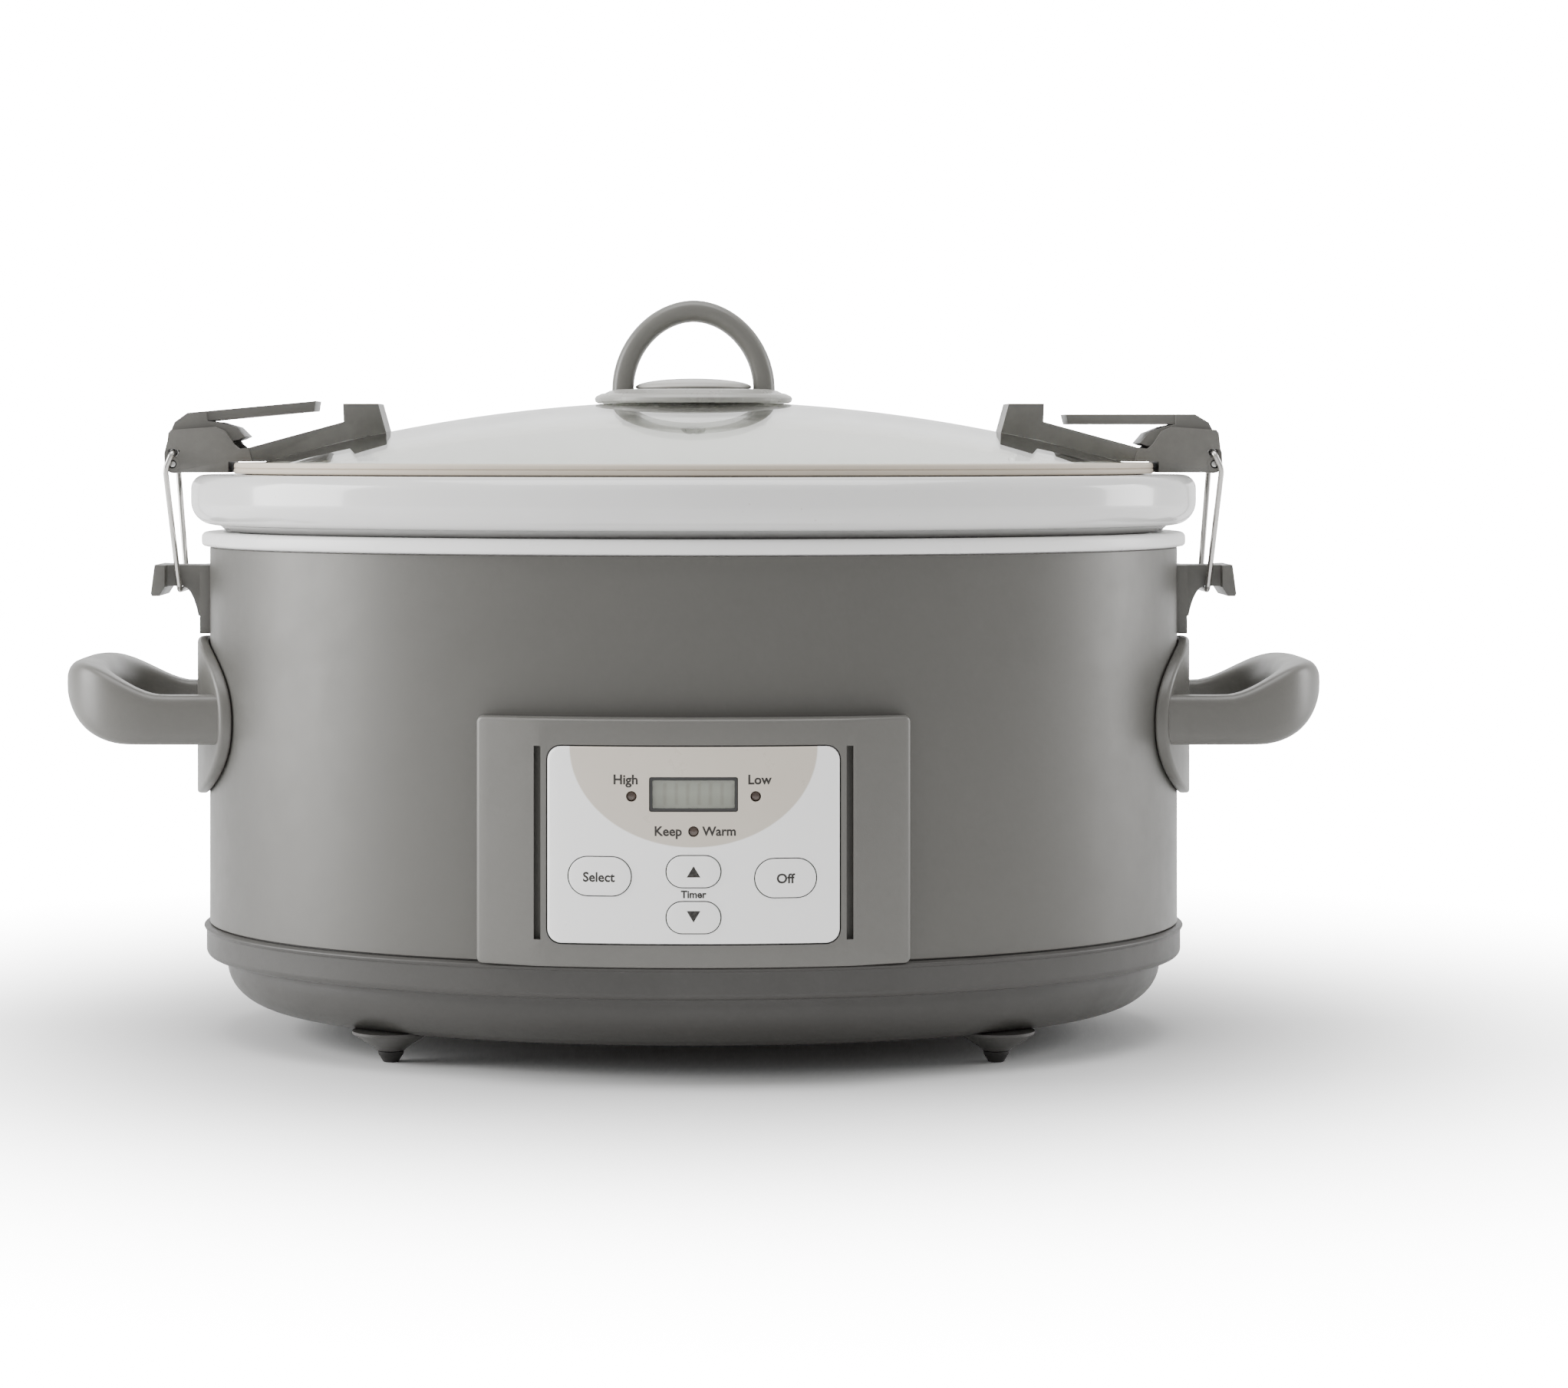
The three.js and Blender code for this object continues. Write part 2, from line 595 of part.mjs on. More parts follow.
function temperatureSensor() {
  const top = CROCK_BOTTOM - GAP;
  const bottom = top - SENSOR_HEIGHT;
  return turned([
    [0, bottom],
    [SENSOR_RADIUS + 2, bottom],
    [SENSOR_RADIUS + 2, bottom + 1.2],
    [SENSOR_RADIUS, bottom + 1.2],
    [SENSOR_RADIUS, top - 1],
    [SENSOR_RADIUS - 1, top],
    [0, top],
  ], undefined, 16);
}

class Helix extends THREE.Curve {
  constructor(radius, bottom, top, turns) {
    super();
    Object.assign(this, { radius, bottom, top, turns });
  }

  getPoint(t, target = new THREE.Vector3()) {
    const angle = 2 * Math.PI * this.turns * t;
    const height = this.bottom + (this.top - this.bottom) * t;
    return target.set(this.radius * Math.cos(angle), this.radius * Math.sin(angle), height);
  }
}

function roundWire(path, radius, sides, steps) {
  const section = shapeOf(arc(0, 0, radius, radius, 0, 360 - 360 / sides, sides - 1));
  return solid(new THREE.ExtrudeGeometry(section, { steps, extrudePath: path }));
}

function sensorSpring() {
  const bottom = BASE_FLOOR + BASE_WALL + GAP + SPRING_WIRE;
  const top = CROCK_BOTTOM - SENSOR_HEIGHT - 2 * GAP - SPRING_WIRE;
  return roundWire(new Helix(SPRING_RADIUS, bottom, top, SPRING_TURNS), SPRING_WIRE, 5, 10 * SPRING_TURNS);
}

function boardCorners() {
  const { x, y, length, width } = POWER_BOARD;
  const [reach, side] = [length / 2 - 5, width / 2 - 5];
  return [[x - reach, y - side], [x + reach, y - side], [x - reach, y + side], [x + reach, y + side]];
}

function powerBoard() {
  const { x, y, length, width, thickness } = POWER_BOARD;
  const [z0, z1] = [POWER_BOARD_HEIGHT, POWER_BOARD_HEIGHT + thickness];
  return box(x - length / 2, x + length / 2, y - width / 2, y + width / 2, z0, z1);
}

function boardComponent(offsetX, offsetY, length, width) {
  const [x, y] = [POWER_BOARD.x + offsetX, POWER_BOARD.y + offsetY];
  const z = POWER_BOARD_HEIGHT + POWER_BOARD.thickness + GAP;
  return box(x - length / 2, x + length / 2, y - width / 2, y + width / 2, z, z + COMPONENT_HEIGHT);
}

function thermalFuse() {
  const z = WELL_FLOOR - 2.6;
  return joined(rod(2, [52, 42, z], [64, 42, z], 12), rod(0.5, [46, 42, z], [70, 42, z], 8));
}

function cordGland() {
  const wall = evenWall(CAN_HALF_WIDTH);
  const z = GLAND_HEIGHT;
  const neck = rod(GLAND_RADIUS - 1.5, [0, wall - 6, z], [0, wall + 2, z], 14);
  const flange = rod(GLAND_FLANGE_RADIUS, [0, wall + 0.4, z], [0, wall + 3.4, z], 20);
  const nose = rod(GLAND_RADIUS, [0, wall + 3, z], [0, GLAND_REACH, z], 16);
  return cut(joined(neck, flange, nose), rod(CORD_HOLE_RADIUS, [0, 0, z], [0, BEYOND, z]));
}

// ---------------------------------------------------------------- control panel

function panelShell(inner, outer, outline) {
  return ovalShell(inner, outer, 0, BEZEL_TOP + 20).intersect(slabAcross(outline, -BEYOND, 0));
}

function frontBox(halfWidth, inner, outer, bottom, top) {
  const outline = [[-halfWidth, bottom], [halfWidth, bottom], [halfWidth, top], [-halfWidth, top]];
  return panelShell(inner, outer, outline);
}

function fasciaOutline(margin) {
  return roundedOutline(
    0,
    (FASCIA_BOTTOM + FASCIA_TOP) / 2,
    2 * (FASCIA_HALF_WIDTH + margin),
    FASCIA_TOP - FASCIA_BOTTOM + 2 * margin,
    FASCIA_CORNER + margin,
  );
}

function controlBezel() {
  const outer = frontBox(BEZEL_HALF_WIDTH, CAN_HALF_WIDTH + GAP, BEZEL_FACE, BEZEL_BOTTOM, BEZEL_TOP);
  const cavity = frontBox(
    BEZEL_HALF_WIDTH - BEZEL_WALL, CAN_HALF_WIDTH - 5, BEZEL_FACE - BEZEL_WALL,
    BEZEL_BOTTOM + BEZEL_WALL, BEZEL_TOP - BEZEL_WALL,
  );
  const opening = panelShell(CAN_HALF_WIDTH, BEZEL_FACE + 1, fasciaOutline(-FASCIA_LEDGE));
  const recessFloor = FASCIA_FACE - FASCIA_THICKNESS - GAP;
  const recess = panelShell(recessFloor, BEZEL_FACE + 1, fasciaOutline(GAP));
  const slots = [-SLOT_OFFSET, SLOT_OFFSET].map((x) =>
    box(x - SLOT_WIDTH / 2, x + SLOT_WIDTH / 2, -BEYOND, 0, SLOT_BOTTOM, SLOT_TOP),
  );
  return cut(outer, cavity, opening, recess, ...slots);
}

function buttonOutline({ x, z, width, height }, margin) {
  const corner = height / 2 + margin - 0.01;
  return roundedOutline(x, z, width + 2 * margin, height + 2 * margin, corner);
}

function displayOutline(margin) {
  return roundedOutline(0, DISPLAY_MIDDLE, DISPLAY_WIDTH + 2 * margin, DISPLAY_HEIGHT + 2 * margin, 0.6, 2);
}

function controlFascia() {
  const plate = panelShell(FASCIA_FACE - FASCIA_THICKNESS, FASCIA_FACE, fasciaOutline(0));
  const buttonHoles = Object.values(BUTTONS).map((button) =>
    slabAcross(buttonOutline(button, GAP), -BEYOND, 0),
  );
  const lightHoles = Object.values(LIGHTS).map(({ x, z }) =>
    rod(LIGHT_RADIUS + GAP, [x, -BEYOND, z], [x, 0, z]),
  );
  return cut(plate, slabAcross(displayOutline(0), -BEYOND, 0), ...buttonHoles, ...lightHoles);
}

function panelButton(button) {
  const solidPanel = ovalBlock(BUTTON_FACE, 0, BEZEL_TOP);
  return slabAcross(buttonOutline(button, 0), -BEYOND, -BUTTON_BACK).intersect(solidPanel);
}

function panelLight({ x, z }) {
  const solidPanel = ovalBlock(FASCIA_FACE - 0.1, 0, BEZEL_TOP);
  return rod(LIGHT_RADIUS, [x, -BEYOND, z], [x, -BOARD_FRONT - GAP, z]).intersect(solidPanel);
}

function displayWindow() {
  return panelShell(FASCIA_FACE - 1.2, FASCIA_FACE - 0.3, displayOutline(-GAP));
}

function displayModule() {
  const front = evenWall(FASCIA_FACE - FASCIA_THICKNESS) - 1;
  const [halfWidth, halfHeight] = [DISPLAY_WIDTH / 2 + 2, DISPLAY_HEIGHT / 2 + 2];
  return box(
    -halfWidth, halfWidth, -front, -front + DISPLAY_DEPTH,
    DISPLAY_MIDDLE - halfHeight, DISPLAY_MIDDLE + halfHeight,
  );
}

function controlBoard() {
  return box(
    -BOARD_HALF_WIDTH, BOARD_HALF_WIDTH, -BOARD_FRONT, -BOARD_FRONT + BOARD_THICKNESS,
    FASCIA_BOTTOM + BOARD_MARGIN + 1, FASCIA_TOP - BOARD_MARGIN - 1,
  );
}

// A flat cable from the back of the control board, down inside the can wall, to the power board.
function panelRibbon() {
  const start = -BOARD_FRONT + BOARD_THICKNESS + GAP;
  const drop = -evenWall(CAN_HALF_WIDTH) + 4;
  const top = FASCIA_BOTTOM + 12;
  const underWell = WELL_FLOOR - 1.2;
  const board = POWER_BOARD_HEIGHT + POWER_BOARD.thickness + GAP;
  const end = POWER_BOARD.y - POWER_BOARD.width / 2 + 4;
  const outline = [
    [start, top], [start, top - 1], [drop - 0.5, top - 1], [drop - 0.5, underWell - 1],
    [end - 0.5, underWell - 1], [end - 0.5, board], [end + 0.5, board], [end + 0.5, underWell],
    [drop + 0.5, underWell], [drop + 0.5, top],
  ];
  return slabAlong(outline, -9, 9);
}

// ---------------------------------------------------------------- crock and lid

function crock() {
  const outer = (z) => wellRadius(z) - CROCK_CLEARANCE;
  const face = CAN_HALF_WIDTH + RIM_PROUD;
  const mouth = CAN_HALF_WIDTH - RIM_MOUTH_INSET;
  const shoulder = COLLAR_TOP + 0.5;
  const foot = CROCK_FOOT_ROUND;
  const inside = CROCK_INSIDE_ROUND;
  const floor = CROCK_BOTTOM + CROCK_FLOOR;
  const underRim = [face - RIM_BOTTOM_ROUND, RIM_BOTTOM + RIM_BOTTOM_ROUND];
  return ovalTurned([
    [0, CROCK_BOTTOM],
    ...arc(outer(CROCK_BOTTOM + foot) - foot, CROCK_BOTTOM + foot, foot, foot, 270, 360, 3),
    [outer(WELL_RIM - 2), WELL_RIM - 2],
    [outer(WELL_RIM) + 2, shoulder],
    [WELL_MOUTH + WELL_FLANGE, shoulder],
    [face - RIM_BOTTOM_ROUND - 1.5, RIM_BOTTOM],
    ...arc(...underRim, RIM_BOTTOM_ROUND, RIM_BOTTOM_ROUND, 280, 360, 3),
    ...arc(face - RIM_TOP_ROUND, RIM_TOP - RIM_TOP_ROUND, RIM_TOP_ROUND, RIM_TOP_ROUND, 0, 90, 3),
    ...arc(mouth + 3, RIM_TOP - 3, 3, 3, 90, 180, 2),
    [mouth, RIM_TOP - 9],
    [outer(WELL_RIM - 4) - CROCK_WALL, WELL_RIM - 4],
    ...arc(outer(floor + inside) - CROCK_WALL - inside, floor + inside, inside, inside, 360, 270, 4),
    [0, floor],
  ]);
}

function domeHeight(radius) {
  return DOME_TOP - DOME_SAG * (radius / GLASS_RADIUS) ** 2;
}

function domeProfile(lift, steps) {
  const points = [];
  for (let i = 0; i <= steps; i += 1) {
    const radius = (GLASS_RADIUS * i) / steps;
    points.push([radius, domeHeight(radius) + lift]);
  }
  return points;
}

function lidGlass() {
  const dome = ovalTurned([...domeProfile(-GLASS_THICKNESS, 5), ...domeProfile(0, 5).reverse()], evenDome);
  const holes = [
    [0, HANDLE_SCREW_RADIUS + 1.2],
    [-LATCH_SCREW_OUT, LID_SCREW_HOLE],
    [LATCH_SCREW_OUT, LID_SCREW_HOLE],
  ];
  return cut(dome, ...holes.map(([x, radius]) => rod(radius, [x, 0, 0], [x, 0, BEYOND], 10)));
}

// Everything above the dome when it is raised by a lift. It bounds what seats on the glass or under it.
function aboveDome(lift) {
  return ovalTurned([...domeProfile(lift, 5), [GLASS_RADIUS, ABOVE_LID], [0, ABOVE_LID]], evenDome);
}

function lidGasket() {
  const face = GASKET_FACE;
  const seat = GLASS_RADIUS + GAP;
  const glassFoot = domeHeight(GLASS_RADIUS) - GLASS_THICKNESS - GAP;
  return ovalTurned([
    [GLASS_RADIUS - GASKET_GRIP, glassFoot - 1.3],
    [seat + 1.3, glassFoot - 1.3],
    [seat + 1.3, GASKET_BOTTOM],
    [face, GASKET_BOTTOM],
    [face, GASKET_TOP - 0.9],
    [face - 0.9, GASKET_TOP],
    [seat, GASKET_TOP],
    [seat, glassFoot],
    [GLASS_RADIUS - GASKET_GRIP, glassFoot],
  ]);
}

function archOutline() {
  const outer = superellipse(ARCH_HALF_WIDTH, ARCH_HEIGHT, ARCH_ROUNDNESS, 0, 180, 14);
  const inner = superellipse(
    ARCH_HALF_WIDTH - ARCH_THICKNESS, ARCH_HEIGHT - ARCH_THICKNESS, ARCH_ROUNDNESS, 180, 0, 14,
  );
  const raise = ([x, z]) => [x, DISC_TOP + z];
  return [
    [ARCH_HALF_WIDTH, DISC_TOP - ARCH_SUNK],
    ...outer.map(raise),
    [-ARCH_HALF_WIDTH, DISC_TOP - ARCH_SUNK],
    [-ARCH_HALF_WIDTH + ARCH_THICKNESS, DISC_TOP - ARCH_SUNK],
    ...inner.map(raise),
    [ARCH_HALF_WIDTH - ARCH_THICKNESS, DISC_TOP - ARCH_SUNK],
  ];
}

function lidHandle() {
  const disc = turned([
    [0, DISC_TOP - DISC_DEPTH],
    [DISC_RADIUS - 1, DISC_TOP - DISC_DEPTH],
    [DISC_RADIUS, DISC_TOP - DISC_DEPTH + 1.2],
    [DISC_RADIUS, DISC_TOP - 2.6],
    [DISC_RADIUS - 1.4, DISC_TOP - 1.3],
    [ARCH_HALF_WIDTH - 1, DISC_TOP],
    [0, DISC_TOP],
  ], undefined, 28);
  const boss = rod(4.2, [0, 0, DOME_TOP + GAP], [0, 0, DISC_TOP]);
  const bore = rod(HANDLE_SCREW_RADIUS + GAP, [0, 0, 0], [0, 0, DISC_TOP - 1]);
  const seated = disc.intersect(aboveDome(GAP));
  return cut(joined(seated, boss, slabAcross(archOutline(), -ARCH_DEPTH / 2, ARCH_DEPTH / 2)), bore);
}

function lidHandleCap() {
  const radius = ARCH_HALF_WIDTH - ARCH_THICKNESS - 0.5;
  const bottom = DISC_TOP + GAP;
  return turned([
    [0, bottom],
    [radius, bottom],
    ...arc(0, bottom + 0.6, radius, CAP_HEIGHT - 0.6 - GAP, 0, 84, 4),
    [0, bottom + CAP_HEIGHT - GAP],
  ], undefined, 24);
}

function lidHandleWasher() {
  const top = DOME_TOP - GLASS_THICKNESS - GAP;
  const hole = HANDLE_SCREW_RADIUS + GAP + 0.3;
  const profile = [
    [hole, top - WASHER_DEPTH - 0.4],
    [12, top - WASHER_DEPTH - 0.4],
    [WASHER_RADIUS - 4, top - WASHER_DEPTH + 0.5],
    [WASHER_RADIUS, top - 1.9],
    [WASHER_RADIUS, top - 1.3],
    [hole, top - 0.2],
  ];
  return cut(turned([...profile, profile[0]], undefined, 24), aboveDome(-GLASS_THICKNESS - GAP));
}

function lidHandleScrew() {
  const head = DOME_TOP - GLASS_THICKNESS - GAP - WASHER_DEPTH - 0.4 - GAP;
  const top = DISC_TOP - 1.6;
  return joined(
    rod(HANDLE_SCREW_RADIUS, [0, 0, head - 1], [0, 0, top]),
    turned([[0, head - 2.2], [3, head - 2.2], [4.2, head - 1.2], [4.2, head], [0, head]], undefined, 16),
  );
}

// ---------------------------------------------------------------- lid latches, drawn on the right side

function bailPivot(tilt) {
  const angle = radians(BAIL_PIVOT_ANGLE - tilt);
  return [
    LEVER_PIVOT_OUT + BAIL_PIVOT_OFFSET * Math.cos(angle),
    LEVER_PIVOT_UP + BAIL_PIVOT_OFFSET * Math.sin(angle),
  ];
}

function cheekOutline() {
  return [
    [LATCH_INNER, LATCH_FOOT],
    [LEVER_PIVOT_OUT + 0.9, LATCH_FOOT],
    [LEVER_PIVOT_OUT + 2.1, LEVER_PIVOT_UP + 2.7],
    [LEVER_PIVOT_OUT + 1.3, CHEEK_TOP - 2],
    [LEVER_PIVOT_OUT + 0.5, CHEEK_TOP - 1],
    [LEVER_PIVOT_OUT - 13.5, CHEEK_TOP],
    [LEVER_PIVOT_OUT - 16.8, CHEEK_TOP - 1.4],
    [LEVER_PIVOT_OUT - 19.6, CHEEK_TOP - 5.6],
    [LEVER_PIVOT_OUT - 21.3, CHEEK_TOP - 7],
    [LEVER_PIVOT_OUT - 24.3, CHEEK_TOP - 6.6],
    [LEVER_PIVOT_OUT - 25.3, OVER_GASKET],
    [LATCH_INNER, OVER_GASKET],
  ];
}

// The path that the bail's ends sweep as the lever opens, kept clear through both cheeks.
function bailSweep(fromAngle, toAngle) {
  const inner = BOSS_RADIUS + 0.05;
  const outer = BAIL_PIVOT_OFFSET + BAIL_RADIUS + 0.45;
  const centre = [LEVER_PIVOT_OUT, LEVER_PIVOT_UP];
  return [
    ...arc(...centre, outer, outer, fromAngle, toAngle, 6),
    ...arc(...centre, inner, inner, toAngle, fromAngle, 6),
  ];
}

function latchArmOutline() {
  return [
    [LATCH_INNER, LATCH_FOOT],
    [LATCH_INNER + 10, LATCH_FOOT],
    [LATCH_INNER + 10, LATCH_FOOT + 1.8],
    [LATCH_INNER + 2, LATCH_FOOT + 3.9],
    [LEVER_PIVOT_OUT - 21.3, CHEEK_TOP - 7.8],
    [LEVER_PIVOT_OUT - 24.3, CHEEK_TOP - 6.6],
    [BLOCK_OUT - 0.2, BLOCK_TOP - 5.8],
    [BLOCK_OUT, BLOCK_TOP],
    [BLOCK_OUT - 11.2, BLOCK_TOP],
    [BLOCK_IN, BLOCK_TOP - 9.4],
    [BLOCK_IN + 1.5, domeHeight(BLOCK_IN) - 4],
    [GLASS_RADIUS - 5, OVER_GASKET - 2],
    [GLASS_RADIUS + 0.5, OVER_GASKET],
    [LATCH_INNER, OVER_GASKET],
  ];
}

function latchBase() {
  const cheekSlabs = [[-CHEEK_OUTER, -CHEEK_INNER], [CHEEK_INNER, CHEEK_OUTER]].map(([y0, y1]) =>
    cut(slabAcross(cheekOutline(), y0, y1), slabAcross(bailSweep(-40, 120), y0 - 1, y1 + 1)),
  );
  const bosses = [-1, 1].map((side) =>
    rod(
      BOSS_RADIUS,
      [LEVER_PIVOT_OUT, side * CHEEK_INNER, LEVER_PIVOT_UP],
      [LEVER_PIVOT_OUT, side * (CHEEK_OUTER + 0.3), LEVER_PIVOT_UP],
    ),
  );
  const webs = [-1, 1].map((side) => {
    const [y0, y1] = [side * CHEEK_INNER, side * CHEEK_OUTER].sort((a, b) => a - b);
    const reach = LEVER_PIVOT_OUT - BOSS_RADIUS;
    return box(reach - 4, reach + 1.6, y0, y1, RIM_TOP + 0.9, LEVER_PIVOT_UP + 0.6);
  });
  const arm = slabAcross(latchArmOutline(), -ARM_HALF_WIDTH, ARM_HALF_WIDTH);
  const pinBore = rod(
    LEVER_PIN_RADIUS + GAP,
    [LEVER_PIVOT_OUT, -BEYOND, LEVER_PIVOT_UP],
    [LEVER_PIVOT_OUT, BEYOND, LEVER_PIVOT_UP],
  );
  const screwBore = rod(2.1, [LATCH_SCREW_OUT, 0, 0], [LATCH_SCREW_OUT, 0, BLOCK_TOP - 3], 12);
  const whole = joined(arm, ...cheekSlabs, ...bosses, ...webs);
  return cut(whole, glassAndGasketCover(), pinBore, screwBore);
}

// The lid's glass and gasket swollen by the clearance, down to well below them.
function glassAndGasketCover() {
  const glass = ovalTurned([[0, 0], [GLASS_RADIUS, 0], ...domeProfile(GAP, 5).reverse()], evenDome);
  return joined(glass, ovalBlock(GASKET_FACE + GAP, 0, OVER_GASKET));
}

function latchLever(tilt) {
  const [u, w] = [LEVER_PIVOT_OUT, LEVER_PIVOT_UP];
  const hub = [
    [u - 5.9, STRIP_TOP],
    [u - 1.5, STRIP_TOP - 2.6],
    [u + 1.1, w + 8.2],
    [u + 2.7, w + 3.6],
    ...arc(u, w, 2.9, 2.9, 0, -90, 4),
    [u - 2.7, w - 1.6],
    [u - 5.9, w + 2.9],
    [u - 14, w + 4.9],
    [u - 21.4, w + 5.8],
    [u - 23.5, w + 6.6],
    [u - 20.7, w + 9.9],
    [u - 15.7, w + 11.9],
    [u - 12, STRIP_TOP - STRIP_THICKNESS],
    [u - 12, STRIP_TOP],
  ];
  const strip = [
    [STRIP_TIP, STRIP_TOP],
    [STRIP_TIP + 0.8, STRIP_TOP - STRIP_THICKNESS],
    [u - 10, STRIP_TOP - STRIP_THICKNESS],
    [u - 10, STRIP_TOP],
  ];
  const halfWidth = CHEEK_INNER - 0.4;
  const body = joined(
    slabAcross(hub, -halfWidth, halfWidth),
    slabAcross(strip, -STRIP_HALF_WIDTH, STRIP_HALF_WIDTH),
  );
  const [bu, bw] = bailPivot(0);
  const lever = cut(
    body,
    rod(LEVER_PIN_RADIUS + GAP, [u, -BEYOND, w], [u, BEYOND, w]),
    rod(SLEEVE_RADIUS + GAP, [bu, -BEYOND, bw], [bu, BEYOND, bw]),
  );
  return lever.translate([-u, 0, -w]).rotate([0, tilt, 0]).translate([u, 0, w]);
}

function leverPin() {
  const [u, w] = [LEVER_PIVOT_OUT, LEVER_PIVOT_UP];
  return rod(LEVER_PIN_RADIUS, [u, -CHEEK_OUTER + 0.6, w], [u, CHEEK_OUTER - 0.6, w], 12);
}

function bailSleeve(tilt) {
  const [u, w] = bailPivot(tilt);
  const halfLength = CHEEK_INNER - 0.6;
  const tube = rod(SLEEVE_RADIUS, [u, -halfLength, w], [u, halfLength, w]);
  return cut(tube, rod(BAIL_RADIUS + GAP, [u, -BEYOND, w], [u, BEYOND, w]));
}

function bailWire(tilt) {
  const [u, w] = bailPivot(tilt);
  const legTop = [LEVER_PIVOT_OUT + 2, LEVER_PIVOT_UP - 1.5];
  const corners = [
    [u, -CHEEK_INNER + 2.6, w],
    [u, -BAIL_TOP_HALF_WIDTH, w],
    [legTop[0], -BAIL_TOP_HALF_WIDTH + 0.2, legTop[1]],
    [BAIL_BAR_OUT, -BAIL_BAR_HALF_WIDTH, BAIL_BAR_UP],
  ].map((corner) => new THREE.Vector3(...corner));
  const opposite = corners.map(({ x, y, z }) => new THREE.Vector3(x, -y, z)).reverse();
  return roundWire(roundedRoute([...corners, ...opposite], 1.8), BAIL_RADIUS, 6, 44);
}

// Straight stretches between the corners, each corner rounded off.
function roundedRoute(corners, bend) {
  const route = new THREE.CurvePath();
  let from = corners[0];
  for (let i = 1; i < corners.length - 1; i += 1) {
    const [previous, corner, next] = corners.slice(i - 1, i + 2);
    const before = corner.clone().add(previous.clone().sub(corner).setLength(bend));
    const after = corner.clone().add(next.clone().sub(corner).setLength(bend));
    route.add(new THREE.LineCurve3(from, before));
    route.add(new THREE.QuadraticBezierCurve3(before, corner, after));
    from = after;
  }
  route.add(new THREE.LineCurve3(from, corners.at(-1)));
  return route;
}

function latchScrew() {
  const glassFoot = domeHeight(LATCH_SCREW_OUT) - GLASS_THICKNESS;
  const seat = glassFoot - 1.2;
  return joined(
    rod(1.8, [LATCH_SCREW_OUT, 0, seat - 1], [LATCH_SCREW_OUT, 0, BLOCK_TOP - 4], 12),
    rod(3.6, [LATCH_SCREW_OUT, 0, seat - 2], [LATCH_SCREW_OUT, 0, seat]),
  );
}

// ---------------------------------------------------------------- hooks and side handles, right side

function canSwollen() {
  return ovalBlock(CAN_HALF_WIDTH + GAP, 0, BEYOND);
}

function latchHook() {
  const face = CAN_HALF_WIDTH;
  const tabIn = face + HOOK_REACH;
  const plate = ovalShell(face + GAP, face + GAP + HOOK_PLATE, HOOK_BOTTOM, HOOK_TOP)
    .intersect(box(0, BEYOND, -HOOK_PLATE_HALF_WIDTH, HOOK_PLATE_HALF_WIDTH, 0, BEYOND));
  const gusset = new THREE.QuadraticBezierCurve(
    new THREE.Vector2(face + 8, HOOK_UNDERSIDE),
    new THREE.Vector2(face + 5, HOOK_UNDERSIDE - 1.5),
    new THREE.Vector2(face + HOOK_PLATE, HOOK_UNDERSIDE - 9.5),
  ).getPoints(5).map(({ x, y }) => [x, y]);
  const arm = [
    [face - 1, HOOK_TOP],
    [tabIn + 0.6, HOOK_TOP],
    [tabIn + 0.6, HOOK_UNDERSIDE],
    ...gusset,
    [face - 1, HOOK_UNDERSIDE - 9.5],
  ];
  const tab = [
    [tabIn, HOOK_TOP],
    [tabIn + TAB_THICKNESS - 0.8, HOOK_TOP + 0.2],
    [tabIn + TAB_THICKNESS + 0.4, TAB_BOTTOM + 0.8],
    [tabIn + TAB_THICKNESS, TAB_BOTTOM],
    [tabIn + 1.8, TAB_BOTTOM],
    [tabIn, HOOK_UNDERSIDE - 0.3],
  ];
  const bore = rod(WALL_SCREW_RADIUS + GAP, [0, 0, HOOK_SCREW_HEIGHT], [face + 5.2, 0, HOOK_SCREW_HEIGHT], 8);
  return cut(
    joined(
      plate,
      slabAcross(arm, -HOOK_ARM_HALF_WIDTH, HOOK_ARM_HALF_WIDTH),
      slabAcross(tab, -TAB_HALF_WIDTH, TAB_HALF_WIDTH),
    ),
    canSwollen(),
    bore,
  );
}

function gripPlan(reach, halfWidth, exponent) {
  const straight = CAN_HALF_WIDTH + GRIP_STRAIGHT;
  const end = superellipse(reach - straight, halfWidth, exponent, -90, 90, 12);
  return [
    [CAN_HALF_WIDTH - GRIP_ROOT, -halfWidth],
    ...end.map(([x, y]) => [straight + x, y]),
    [CAN_HALF_WIDTH - GRIP_ROOT, halfWidth],
  ];
}

function gripSide() {
  const root = CAN_HALF_WIDTH - GRIP_ROOT;
  const nose = GRIP_END_TOP - GRIP_NOSE;
  const crown = new THREE.SplineCurve([
    new THREE.Vector2(GRIP_REACH, nose),
    new THREE.Vector2(GRIP_REACH - 1.3, GRIP_END_TOP - 2),
    new THREE.Vector2(GRIP_REACH - 4.5, GRIP_END_TOP),
    new THREE.Vector2(GRIP_REACH - 14, GRIP_END_TOP - 1.6),
    new THREE.Vector2(GRIP_REACH - 24, GRIP_LEG_TOP + 3),
    new THREE.Vector2(GRIP_REACH - 36, GRIP_LEG_TOP),
  ]).getPoints(12).map(({ x, y }) => [x, y]);
  return [
    [root, GRIP_BOTTOM],
    ...arc(GRIP_REACH - GRIP_SWEEP, nose, GRIP_SWEEP, nose - GRIP_BOTTOM, 270, 350, 6),
    ...crown,
    [root, GRIP_LEG_TOP],
  ];
}

